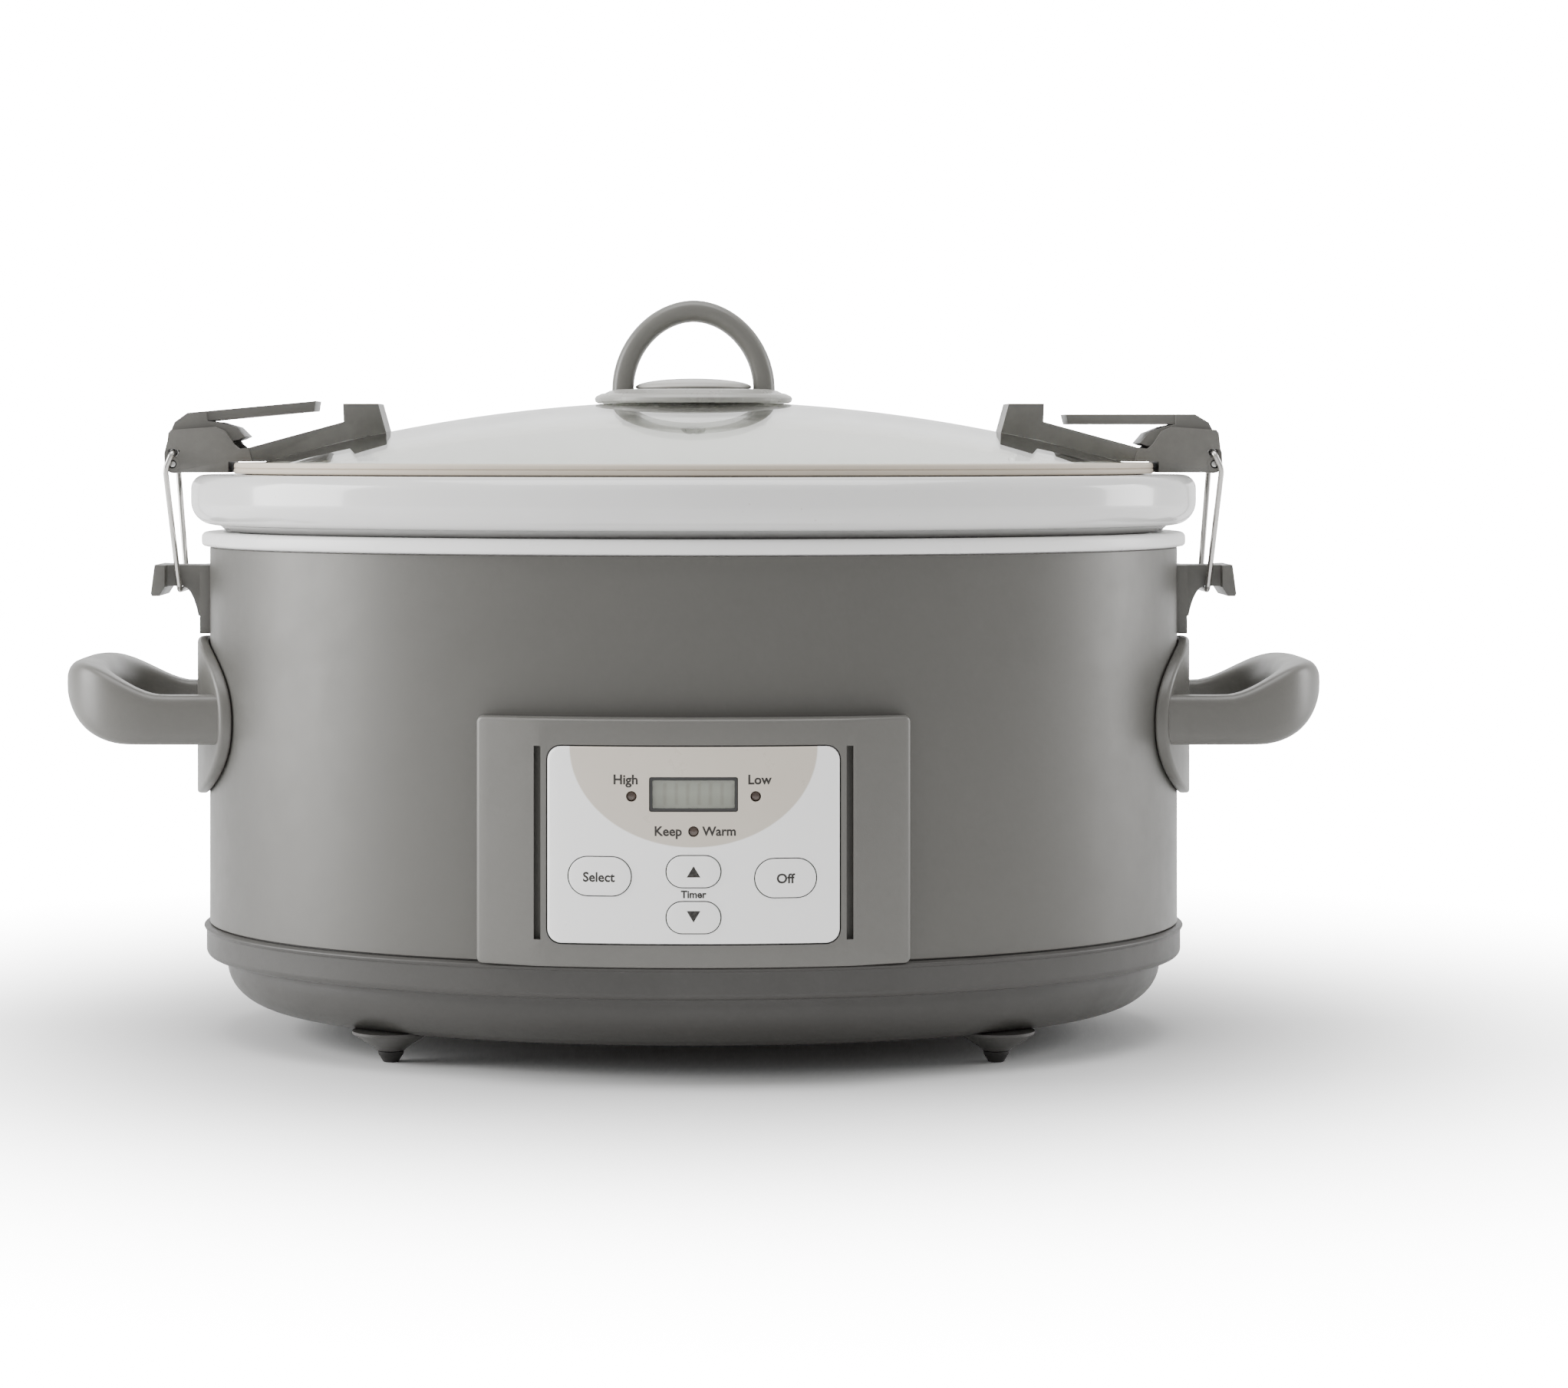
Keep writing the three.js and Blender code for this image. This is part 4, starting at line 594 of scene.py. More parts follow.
def key_plastic():
    return moulded(
        "off_white_keys", (0.90, 0.895, 0.885), 0.34,
        grain=3400.0, depth=0.00002, tint=0.015, wear=0.0, dust=0.03,
    )


def black_plastic():
    return moulded("black_plastic", (0.022, 0.022, 0.021), 0.4, tint=0.1, wear=0.3, dust=0.04)


def foot_rubber():
    return moulded(
        "black_foot_rubber", (0.020, 0.019, 0.018), 0.7, specular=0.3,
        grain=1800.0, depth=0.00006, tint=0.15, wear=0.5, dust=0.2,
    )


def gasket_silicone():
    return moulded(
        "tan_silicone", (0.55, 0.49, 0.41), 0.5, specular=0.35, grain=2000.0, tint=0.04, wear=0.0, dust=0.1,
    )


def panel_print():
    """The off-white panel face with its printed tan half oval below the top edge."""
    surface = Surface("printed_panel_face", 0.3)
    place = surface.axes(surface.coordinates())
    share = surface.math("ABSOLUTE", surface.math("DIVIDE", place["X"], PRINT_HALF_WIDTH * MM))
    below = surface.math("SUBTRACT", FASCIA_HIGH.z * MM, place["Z"])
    drop = surface.math("MAXIMUM", surface.math("DIVIDE", below, PRINT_DROP * MM), 0.0)
    inside = surface.math("ADD", surface.math("POWER", share, 2.0), surface.math("POWER", drop, 2.0))
    printed = surface.between(inside, 1.012, 0.988)
    tan = surface.blend(surface.noise(60.0), (0.545, 0.495, 0.425), (0.585, 0.535, 0.465))
    white = surface.blend(surface.noise(25.0), (0.895, 0.892, 0.885), (0.925, 0.92, 0.91))
    face = surface.blend(printed, white, tan)
    return worn_skin(surface, face, 0.3, grain=3400.0, depth=0.00002, wear=0.0, dust=0.03)


def ink():
    surface = Surface("dark_printing_ink", 0.5, specular=0.3)
    coverage = surface.between(surface.noise(1400.0, 2.0), 0.35, 0.6)
    surface.paint(surface.blend(coverage, (0.045, 0.042, 0.038), (0.022, 0.020, 0.018)))
    surface.rough(surface.between(coverage, 0.0, 1.0, 0.45, 0.6))
    return surface.material


def screen_panel():
    """The grey-green crystal panel, with the ghosts of its unlit segments."""
    surface = Surface("unlit_crystal_screen", 0.22, coat=0.5, coat_roughness=0.04)
    bars = surface.texture(
        "ShaderNodeTexWave", {"Scale": 95.0, "Distortion": 0.4}, wave_type="BANDS", bands_direction="X",
    )["Fac"]
    middle = (WINDOW_LOW.z + WINDOW_HIGH.z) / 2 * MM
    up = surface.axes(surface.coordinates())["Z"]
    height = surface.math("ABSOLUTE", surface.math("SUBTRACT", up, middle))
    within = surface.between(height, 0.0033, 0.0030)
    ghost = surface.math("MULTIPLY", surface.between(bars, 0.55, 0.95), within, clamp=True)
    tone = surface.noise(160.0)
    glass = surface.blend(tone, (0.285, 0.292, 0.243), (0.325, 0.330, 0.278))
    surface.paint(surface.blend(surface.math("MULTIPLY", ghost, 0.55), glass, (0.205, 0.212, 0.175)))
    surface.rough(surface.drift(tone, 0.18, 0.28))
    return surface.material


def clear_cover():
    surface = Surface("clear_screen_cover", 0.05)
    surface.make_glass(1.49)
    drift = surface.noise(120.0)
    surface.paint(surface.blend(drift, (0.93, 0.94, 0.92), (0.97, 0.975, 0.96)))
    surface.rough(surface.drift(drift, 0.03, 0.08))
    surface.let_light_through((0.95, 0.95, 0.94))
    return surface.material


def lamp_lens():
    surface = Surface("dark_lamp_lens", 0.25, coat=0.3)
    tone = surface.noise(900.0)
    surface.paint(surface.blend(tone, (0.040, 0.030, 0.025), (0.085, 0.054, 0.040)))
    surface.rough(surface.drift(tone, 0.2, 0.32))
    return surface.material


def glazed_stoneware():
    """Thick off-white glaze: slow pools of tone, tiny specks, and a soft unevenness under the gloss."""
    surface = Surface("off_white_stoneware_glaze", 0.2, coat=0.6, coat_roughness=0.06)
    pools = surface.drift(surface.noise(11.0, 5.0, 0.6))
    glaze = surface.blend(pools, (0.640, 0.637, 0.628), (0.690, 0.688, 0.680))
    specks = surface.texture("ShaderNodeTexVoronoi", {"Scale": 260.0}, feature="F1")["Distance"]
    dots = surface.between(specks, 0.10, 0.05)
    chosen = surface.between(surface.noise(60.0, 2.0), 0.52, 0.60)
    speckled = surface.math("MULTIPLY", surface.math("MULTIPLY", dots, chosen), 0.35, clamp=True)
    surface.paint(surface.blend(speckled, glaze, (0.42, 0.38, 0.33)))
    surface.rough(surface.drift(surface.noise(35.0, 6.0), 0.15, 0.26))
    surface.emboss(surface.noise(55.0, 3.0, 0.5), 0.12, 0.0006)
    return surface.material


def lid_glass():
    """Clear glass that turns greener where it is seen edge on."""
    surface = Surface("tempered_lid_glass", 0.02)
    surface.make_glass(1.46)
    clear = surface.blend(surface.noise(9.0, 5.0, 0.6), (0.900, 0.915, 0.880), (0.940, 0.950, 0.920))
    edge_on = surface.between(surface.add("ShaderNodeLayerWeight").outputs["Facing"], 0.80, 0.97)
    surface.paint(surface.blend(edge_on, clear, (0.60, 0.64, 0.56)))
    surface.rough(surface.between(surface.noise(28.0, 6.0, 0.7), 0.45, 0.75, 0.01, 0.06))
    surface.let_light_through((0.92, 0.93, 0.91))
    return surface.material


def drawn_steel(name, colour, roughness, across):
    surface = Surface(name, roughness, metallic=1.0)
    lines = surface.group(DRAWN_METAL, "Across", across)
    worn = surface.blend(surface.noise(40.0), shade(colour, 0.9), shade(colour, 1.05))
    surface.paint(surface.blend(lines["Gloss"], shade(colour, 0.82), worn))
    surface.rough(surface.between(lines["Gloss"], 0.0, 1.0, roughness - 0.06, roughness + 0.1))
    surface.emboss(lines["Height"], 0.15, 0.00002)
    return surface.material


def circuit_board():
    """Green lacquer over copper tracks laid on a square grid."""
    surface = Surface("green_circuit_board", 0.35, coat=0.3)
    tracks = surface.texture("ShaderNodeTexBrick", {"Scale": 110.0, "Mortar Size": 0.06})["Fac"]
    lacquer = surface.blend(surface.noise(80.0), (0.020, 0.135, 0.050), (0.030, 0.165, 0.065))
    surface.paint(surface.blend(tracks, lacquer, (0.10, 0.30, 0.12)))
    surface.emboss(tracks, 0.4, 0.00008)
    return surface.material


def heater_mica():
    """Flaky mica sheet wound with a flat heating ribbon."""
    surface = Surface("wound_mica_band", 0.6)
    ribbon = surface.texture(
        "ShaderNodeTexWave", {"Scale": 60.0, "Distortion": 1.5}, wave_type="BANDS", bands_direction="Z",
    )["Fac"]
    flakes = surface.noise(240.0, 6.0, 0.7)
    mica = surface.blend(flakes, (0.34, 0.25, 0.14), (0.52, 0.42, 0.27))
    surface.paint(surface.blend(surface.between(ribbon, 0.7, 0.8), mica, (0.30, 0.29, 0.28)))
    surface.emboss(flakes, 0.3, 0.0002)
    return surface.material


# ---------------------------------------------------------------- base, can and well

CAN_WALL = 0.8
BOWL_INSET = 5.7
BOWL_FLOOR = 8.6
BOWL_CORNER_WIDTH = 18
BOWL_CORNER_HEIGHT = 14
BASE_WALL = 2.4
LIP_BOTTOM = 25
LIP_TOP = 35.3
LIP_PROUD = 1
PEDESTAL_RADIUS = 11.75
VENTS = (-38, -26, 26, 38)
VENT_NEAR, VENT_FAR = 18, 48
SCREW_OFFSET = 72
SCREW_RECESS_RADIUS = 4.6
SCREW_RECESS_DEPTH = 2.3
WELL_FLOOR = 31
WELL_SHEET = 1
WELL_CORNER = 14
WELL_TAPER = 5
WELL_FLANGE = 4.2
CORD_BORE = 4


def can_profile():
    inner, outer = HALF_WIDTH - CAN_WALL, HALF_WIDTH
    bottom, top = CAN_LOW.z, CAN_HIGH.z
    return [
        (inner, bottom + 0.2), (inner + 0.2, bottom), (outer - 0.25, bottom), (outer, bottom + 0.3),
        (outer, bottom + 30), (outer, top - 30),
        (outer, top - 0.3), (outer - 0.25, top), (inner + 0.2, top), (inner, top - 0.2),
    ]


def bowl_profile():
    bowl = HALF_WIDTH - BOWL_INSET
    lip = HALF_WIDTH + LIP_PROUD
    ridge = PAN_HIGH.x
    spigot = HALF_WIDTH - CAN_WALL - GAP
    foot = bowl - BOWL_CORNER_WIDTH
    top = BOWL_FLOOR + BOWL_CORNER_HEIGHT
    return [
        (0, BOWL_FLOOR),
        *arc(foot, top, BOWL_CORNER_WIDTH, BOWL_CORNER_HEIGHT, 270, 360, 14),
        (bowl, LIP_BOTTOM - 0.5),
        *arc(bowl + 0.7, LIP_BOTTOM - 0.5, 0.7, 0.5, 180, 90, 3)[1:],
        *arc(lip - 2.2, LIP_BOTTOM + 2.2, 2.2, 2.2, 270, 360, 5),
        (lip, LIP_TOP - 2.1),
        *arc(lip + 0.4, LIP_TOP - 2.1, 0.4, 0.5, 180, 90, 3)[1:],
        *arc(ridge - 0.45, LIP_TOP - 0.9, 0.45, 0.45, 0, 90, 3),
        (ridge - 1.2, LIP_TOP),
        (spigot, LIP_TOP),
        (spigot, PAN_HIGH.z),
        (spigot - 1.8, PAN_HIGH.z),
        (spigot - 1.8, LIP_BOTTOM + BASE_WALL),
        (bowl - BASE_WALL, LIP_BOTTOM + BASE_WALL),
        *arc(foot, top, BOWL_CORNER_WIDTH - BASE_WALL, BOWL_CORNER_HEIGHT - BASE_WALL, 360, 270, 8),
        (0, BOWL_FLOOR + BASE_WALL),
    ]


def pedestal(low, high):
    """The flared boss above one rubber foot, which runs up into the bowl."""
    middle = (low + high) / 2
    foot_top = high.z + GAP
    boss = spun([
        (0, foot_top),
        (high.x - middle.x, foot_top),
        *arc(high.x - middle.x + 0.2, foot_top + 0.5, 0.4, 0.5, 270, 350, 3),
        (6.6, foot_top + 1.9), (9.4, foot_top + 3.7),
        (PEDESTAL_RADIUS, BOWL_FLOOR + 0.2), (PEDESTAL_RADIUS, BOWL_FLOOR + 1),
        (0, BOWL_FLOOR + 1),
    ], round_depth, 40)
    return moved(boss, (middle.x, middle.y, 0))


def rubber_foot(low, high):
    middle = (low + high) / 2
    top_radius = high.x - middle.x
    tip_radius = 2.5
    foot = spun([
        (0, 0), (tip_radius - 0.5, 0),
        *arc(tip_radius - 0.5, 0.5, 0.5, 0.5, 270, 330, 3),
        (top_radius - 0.2, high.z - 1.0), (top_radius, high.z - 0.6), (top_radius, high.z), (0, high.z),
    ], round_depth, 36)
    return moved(foot, (middle.x, middle.y, 0))


def collar_profile():
    face = COLLAR_HIGH.x
    bottom = CAN_HIGH.z + GAP
    top = COLLAR_HIGH.z
    well = WELL_HIGH.x
    return [
        (well + GAP, top - 0.4), (well + GAP + 0.4, top),
        (face - 2.0, top),
        *arc(face - 1.7, top - 1.7, 1.7, 1.7, 90, 0, 6),
        *arc(face - 1.2, bottom + 1.2, 1.2, 1.2, 0, -90, 4),
        (HALF_WIDTH - CAN_WALL - GAP, bottom),
        (HALF_WIDTH - CAN_WALL - GAP, COLLAR_LOW.z),
        (well - 0.9, COLLAR_LOW.z),
        (well - 2.9, WELL_HIGH.z - 1.3),
        (well + GAP, WELL_HIGH.z - 1.3),
    ]


def well_profile():
    mouth = WELL_HIGH.x - WELL_FLANGE
    rim = WELL_HIGH.z
    share = (rim - WELL_FLOOR - WELL_CORNER) / (rim - WELL_FLOOR)
    corner = mouth - WELL_TAPER * share - WELL_CORNER + WELL_SHEET
    inner = WELL_CORNER - WELL_SHEET
    return [
        (0, WELL_FLOOR),
        *arc(corner, WELL_FLOOR + WELL_CORNER, WELL_CORNER, WELL_CORNER, 270, 360, 10),
        (mouth + WELL_SHEET, rim - WELL_SHEET),
        (WELL_HIGH.x, rim - WELL_SHEET), (WELL_HIGH.x, rim),
        *arc(mouth + 1.2, rim - 1.2, 1.2, 1.2, 90, 180, 4),
        *arc(corner, WELL_FLOOR + WELL_CORNER, inner, inner, 360, 270, 10),
        (60, WELL_FLOOR + WELL_SHEET), (57, WELL_FLOOR + WELL_SHEET + 0.7), (54, WELL_FLOOR + WELL_SHEET),
        (0, WELL_FLOOR + WELL_SHEET),
    ]


def build_base():
    plastic = base_plastic()
    piece("can_wall", spun(can_profile()), can_paint(), "base", "graphite_can", "outer_can")
    feet = [f"foot_{end}_{side}" for end in ("front", "rear") for side in SIDES]
    bowl = spun(bowl_profile())
    for x in VENTS:
        bowl = cut(bowl, slab(rounded_rectangle(x, 10, 1.5, 4, 1.4), VENT_NEAR, VENT_FAR))
    for side in SIDES.values():
        x = side * SCREW_OFFSET
        bowl = cut(bowl, rod(SCREW_RECESS_RADIUS, (x, 0, 0), (x, 0, BOWL_FLOOR + SCREW_RECESS_DEPTH)))
    whole = merged(bowl, *(pedestal(*limits(foot)) for foot in feet))
    piece("base_bowl", whole, plastic, "base", "dark_plastic", "base_pan")
    rubber = foot_rubber()
    for foot in feet:
        piece(f"{foot}_rubber", rubber_foot(*limits(foot)), rubber, "base", "foot_rubber", foot)
    piece("collar_band", spun(collar_profile()), white_plastic(), "base", "white_plastic", "top_collar")
    steel = drawn_steel("aluminised_well_sheet", (0.60, 0.60, 0.59), 0.34, (30.0, 30.0, 1800.0))
    piece("well_pan", spun(well_profile()), steel, "base", "aluminised_steel", "heating_well")
    build_gland()


def build_gland():
    """The cord's outlet: a flange against the can and a nose with ribs round it."""
    low, high = GLAND_LOW, GLAND_HIGH
    middle = (low + high) / 2
    reach = high.y - middle.y
    flange = (high.x - low.x) / 2
    wall = HALF_WIDTH - OVAL_DIFFERENCE - middle.y
    ribs = [
        (radius, reach - 4.6 + offset)
        for offset, radius in (
            (0, 7.0), (0.6, 7.5), (1.4, 7.5), (2.0, 6.9), (2.6, 6.9), (3.2, 7.5), (3.9, 7.5),
        )
    ]
    gland = spun([
        (CORD_BORE, -reach), (6, -reach), (6, wall + 0.6), (flange - 0.4, wall + 0.6), (flange, wall + 1.0),
        (flange, wall + 2.6), (flange - 0.8, wall + 3.4), *ribs,
        (6.8, reach), (CORD_BORE + 0.5, reach), (CORD_BORE, reach - 0.5),
    ], round_depth, 48)
    gland = moved(turned(gland, -90, "X"), middle)
    piece("cord_outlet", gland, black_plastic(), "base", "black_plastic", "cord_gland")


# ---------------------------------------------------------------- control panel

PRINT_HALF_WIDTH = 36
PRINT_DROP = 29.1
SLOT_OFFSET = 45.5
WING_FALL = 0.3      # how much of its depth the surround loses from its slots out to its ends
SLOT_LOW = 43.7
SLOT_HIGH = 100
BEND_STEP = 3
FASCIA_THICKNESS = 1.9
FASCIA_CLEARANCE = 0.35
KEY_THICKNESS = 3.4
KEY_INK_ROOM = 0.12
THROUGH = 5          # how far a cutting shape reaches past the panel's face
CAPITAL_SHARE = 0.73      # the height of the typeface's capitals for its size
INK_SPREAD = 0.1
INK_PROUD = 0.03
INK_SUNK = 0.05
LAMPS = ("high_light", "low_light", "warm_light")
KEY_BODIES = {
    "select_button": "select_press",
    "up_button": "up_press",
    "down_button": "down_press",
    "off_button": "off_press",
}


def out_from_can(front):
    """How far out from the can a depth at the middle of the panel is."""
    return front - (HALF_WIDTH - OVAL_DIFFERENCE)


def front_bends(half_width):
    count = int(half_width // BEND_STEP)
    return [BEND_STEP * i for i in range(-count, count + 1)]


def fascia_outline(margin):
    half_width = FASCIA_HIGH.x + margin
    half_height = (FASCIA_HIGH.z - FASCIA_LOW.z) / 2 + margin
    return rounded_rectangle(0, (FASCIA_LOW.z + FASCIA_HIGH.z) / 2, half_width, half_height, 4 + margin)


def key_outline(node, margin):
    low, high = limits(node)
    middle = (low + high) / 2
    half_width, half_height = (high.x - low.x) / 2 + margin, (high.z - low.z) / 2 + margin
    return rounded_rectangle(middle.x, middle.z, half_width, half_height, half_height - 0.01, 10)


def bezel_body():
    front = out_from_can(-BEZEL_LOW.y)
    half_height = (BEZEL_HIGH.z - BEZEL_LOW.z) / 2
    outline = rounded_rectangle(0, (BEZEL_LOW.z + BEZEL_HIGH.z) / 2, BEZEL_HIGH.x, half_height, 1.6, 4)
    body = slab(outline, -0.4, -front, bevel=0.9, segments=4)
    recess = slab(fascia_outline(FASCIA_CLEARANCE), -front + 2.4, -front - THROUGH)
    body = cut(body, recess)
    for side in SIDES.values():
        x = side * SLOT_OFFSET
        body = cut(body, block((x - 1, -front - THROUGH, SLOT_LOW), (x + 1, -front + 3.5, SLOT_HIGH)))
    body = sliced(body, (1, 0, 0), front_bends(BEZEL_HIGH.x))
    for vert in body.verts:
        wing = max(0.0, abs(vert.co.x) - SLOT_OFFSET) / (BEZEL_HIGH.x - SLOT_OFFSET)
        vert.co.y *= 1 - WING_FALL * wing
    return bent_to_front(body)


def fascia_body():
    front = out_from_can(-FASCIA_LOW.y)
    face = slab(fascia_outline(0), -front + FASCIA_THICKNESS, -front, bevel=0.9, segments=4)
    behind, before = -front + THROUGH, -front - THROUGH
    for node in KEY_BODIES:
        face = cut(face, slab(key_outline(node, FASCIA_CLEARANCE), behind, before))
    middle, half_height = (WINDOW_LOW.z + WINDOW_HIGH.z) / 2, (WINDOW_HIGH.z - WINDOW_LOW.z) / 2
    window = rounded_rectangle(0, middle, WINDOW_HIGH.x + GAP, half_height + GAP, 0.6, 3)
    face = cut(face, slab(window, behind, before))
    for node in LAMPS:
        low, high = limits(node)
        middle = (low + high) / 2
        radius = (high.x - low.x) / 2 + 0.15
        face = cut(face, rod(radius, (middle.x, behind, middle.z), (middle.x, before, middle.z)))
    return bent_to_front(sliced(face, (1, 0, 0), front_bends(FASCIA_HIGH.x)))


def key_front():
    """How far out from the can the keys' faces stand, with a little room for the ink on them."""
    return out_from_can(-limits("up_button")[0].y) - KEY_INK_ROOM


def key_body(node):
    """A button with a rounded rim, wrapped onto the curve of the panel."""
    low, high = limits(node)
    front = key_front()
    key = slab(key_outline(node, 0), -front + KEY_THICKNESS, -front, bevel=0.55, segments=4)
    step = BEND_STEP / 2
    bends = [low.x + step * i for i in range(1, int((high.x - low.x) / step))]
    return bent_to_front(sliced(key, (1, 0, 0), bends))


def ink_mark(outline, front):
    """A flat printed mark on the curve of the panel."""
    return bent_to_front(slab(outline, -front + INK_SUNK, -front - INK_PROUD))


def triangle(x, z, half_width, height):
    return [(x - half_width, z - height / 2), (x + half_width, z - height / 2), (x, z + height / 2)]


def printed_words(text, x, z, height, front):
    """Plain words in ink, with capitals of a given height, laid on the curve of the panel."""
    writing = bpy.data.curves.new("words", "FONT")
    writing.body = text
    writing.size = height / CAPITAL_SHARE
    writing.offset = INK_SPREAD
    writing.align_x = "CENTER"
    writing.resolution_u = 3
    holder = bpy.data.objects.new("words", writing)
    bpy.context.collection.objects.link(holder)
    mesh = bpy.data.meshes.new_from_object(holder.evaluated_get(bpy.context.evaluated_depsgraph_get()))
    bm = bmesh.new()
    bm.from_mesh(mesh)
    bpy.data.objects.remove(holder)
    bpy.data.curves.remove(writing)
    bpy.data.meshes.remove(mesh)
    bmesh.ops.remove_doubles(bm, verts=bm.verts, dist=MERGE)
    moved(turned(bm, 90, "X"), (x, -front - INK_PROUD, z - height / 2))
    pushed = bmesh.ops.extrude_face_region(bm, geom=bm.faces[:], use_keep_orig=True)["geom"]
    bmesh.ops.translate(bm, vec=(0, INK_PROUD + INK_SUNK, 0), verts=grown(pushed))
    bmesh.ops.recalc_face_normals(bm, faces=bm.faces)
    return bent_to_front(bm)


def build_panel():
    piece("panel_surround", bezel_body(), bezel_paint(), "base", "bezel_plastic", "control_bezel", crease=28)
    piece("panel_face", fascia_body(), panel_print(), "base", "white_plastic", "control_fascia", crease=28)
    keys = key_plastic()
    for node, body in KEY_BODIES.items():
        piece(f"{node}_key", key_body(node), keys, body, "button_rubber", node)
    build_screen()
    build_lamps()
    build_marks()


def build_screen():
    """The black frame in the panel's window, the crystal panel behind it and the clear cover in it."""
    half_width, half_height = WINDOW_HIGH.x + 0.2, (WINDOW_HIGH.z - WINDOW_LOW.z) / 2 + 0.2
    middle = (WINDOW_LOW.z + WINDOW_HIGH.z) / 2
    front = out_from_can(-FASCIA_LOW.y)
    bends = front_bends(half_width)

    def sheet(corner, near, far, inset=0.0, bevel=0.0):
        outline = rounded_rectangle(0, middle, half_width - inset, half_height - inset, corner, 3)
        return slab(outline, -front + near, -front + far, bevel=bevel)

    def screen_piece(name, bm, surface, slot, *nodes):
        piece(name, bent_to_front(sliced(bm, (1, 0, 0), bends)), surface, "base", slot, *nodes)

    ring = cut(sheet(0.5, 1.6, 0.35), sheet(0.3, THROUGH, -THROUGH, inset=0.9))
    screen_piece("screen_frame", ring, black_plastic(), "black_plastic")
    screen_piece("screen_panel", sheet(0.4, 2.6, 1.1), screen_panel(), "display_panel", "display_module")
    cover = sheet(0.5, 0.95, 0.55, bevel=0.1)
    screen_piece("screen_cover", cover, clear_cover(), "display_cover", "display_window")


def build_lamps():
    lens = lamp_lens()
    for node in LAMPS:
        low, high = limits(node)
        middle = (low + high) / 2
        radius = (high.x - low.x) / 2
        dome = spun([
            (0, low.y), (radius * 0.5, low.y + 0.08), (radius * 0.85, low.y + 0.3), (radius, low.y + 0.7),
            (radius, high.y), (0, high.y),
        ], round_depth, 28)
        turned(dome, 90, "X")
        bmesh.ops.scale(dome, vec=(1, -1, 1), verts=dome.verts)
        bmesh.ops.recalc_face_normals(dome, faces=dome.faces)
        piece(f"{node}_lens", moved(dome, (middle.x, 0, middle.z)), lens, "base", "lamp_plastic", node)


def build_marks():
    """The plain words that say what each lamp and key is for."""
    dark = ink()
    face = out_from_can(-FASCIA_LOW.y)
    words = [
        printed_words(*word, face) for word in (
            ("High", -19.7, 90.7, 2.85), ("Low", 19.1, 90.7, 2.85), ("Keep", -7.4, 75.8, 2.8),
            ("Warm", 7.5, 75.8, 2.7), ("Timer", 0, 57.5, 2.15),
        )
    ]
    piece("panel_words", merged(*words), dark, "base", "lamp_plastic")
    face = key_front()
    up, down = ((limits(node)[0] + limits(node)[1]) / 2 for node in ("up_button", "down_button"))
    for name, mark, body in (
        ("select_word", printed_words("Select", -27.5, 62.4, 2.8, face), "select_press"),
        ("up_arrow", ink_mark(triangle(up.x, up.z, 2.0, 3.3), face), "up_press"),
        ("down_arrow", ink_mark(triangle(down.x, down.z + 0.3, 2.0, -3.3), face), "down_press"),
        ("off_word", printed_words("Off", 26.6, 62.0, 2.85, face), "off_press"),
    ):
        bmesh.ops.recalc_face_normals(mark, faces=mark.faces)
        piece(name, mark, dark, body, "lamp_plastic")


# ---------------------------------------------------------------- crock and lid

CROCK_CLEARANCE = 3
CROCK_WALL = 7.5
CROCK_FLOOR = 8
RIM_BOTTOM = 162
RIM_TOP_ROUND = 4.5
RIM_BOTTOM_ROUND = 7.5
RIM_MOUTH_INSET = 12.5
CROCK_FOOT_ROUND = 14
CROCK_INSIDE_ROUND = 22
GLASS_THICKNESS = 4
DOME_TOP = 201.5
DOME_RADIUS = 485
DISC_TOP = 205.2
ARCH_HALF_WIDTH = 26.2
ARCH_THICKNESS = 7
ARCH_DEPTH = 15
ARCH_ROUNDNESS = 1.93
ARCH_SUNK = 1.6      # how far the arch's ends go down into the disc


def crock_profile():
    rim = WELL_HIGH.z
    mouth_of_well = WELL_HIGH.x - WELL_FLANGE

    def outer(height):
        return mouth_of_well - WELL_TAPER * (rim - height) / (rim - WELL_FLOOR) - CROCK_CLEARANCE

    face = CROCK_HIGH.x
    top = CROCK_HIGH.z
    bottom = CROCK_LOW.z
    mouth = HALF_WIDTH - RIM_MOUTH_INSET
    floor = bottom + CROCK_FLOOR
    foot, inside, under = CROCK_FOOT_ROUND, CROCK_INSIDE_ROUND, RIM_BOTTOM_ROUND
    return [
        (0, bottom + 1.2), (outer(bottom) - foot - 9, bottom + 1.2), (outer(bottom) - foot - 7, bottom),
        *arc(outer(bottom + foot) - foot, bottom + foot, foot, foot, 270, 360, 10),
        (outer(rim - 2), rim - 2),
        *arc(outer(rim) + 2.2, rim - 1.2, 2.0, 1.6, 180, 90, 4),
        (WELL_HIGH.x, COLLAR_HIGH.z + 0.5),
        (face - under - 1.5, RIM_BOTTOM),
        *arc(face - under, RIM_BOTTOM + under, under, under, 276, 360, 10),
        *arc(face - RIM_TOP_ROUND, top - RIM_TOP_ROUND, RIM_TOP_ROUND, RIM_TOP_ROUND, 0, 90, 10),
        *arc(mouth + 3, top - 3, 3, 3, 90, 180, 7),
        (mouth - 0.4, top - 9),
        (outer(rim - 4) - CROCK_WALL + 0.6, rim - 1),
        (outer(rim - 4) - CROCK_WALL, rim - 6),
        *arc(outer(floor + inside) - CROCK_WALL - inside, floor + inside, inside, inside, 360, 270, 12),
        (0, floor),
    ]


def dome_height(radius):
    return DOME_TOP - radius ** 2 / (2 * DOME_RADIUS)


def dome_profile():
    edge = GLASS_HIGH.x
    steps = 26
    radii = [(edge - 1.2) * i / steps for i in range(steps + 1)]
    rim_top = dome_height(edge) - 1.2
    return [
        *[(r, dome_height(r) - GLASS_THICKNESS) for r in radii],
        *arc(edge - 1.2, rim_top - 1.6, 1.2, 1.2, -85, 85, 8),
        *[(r, dome_height(r)) for r in reversed(radii)],
    ]


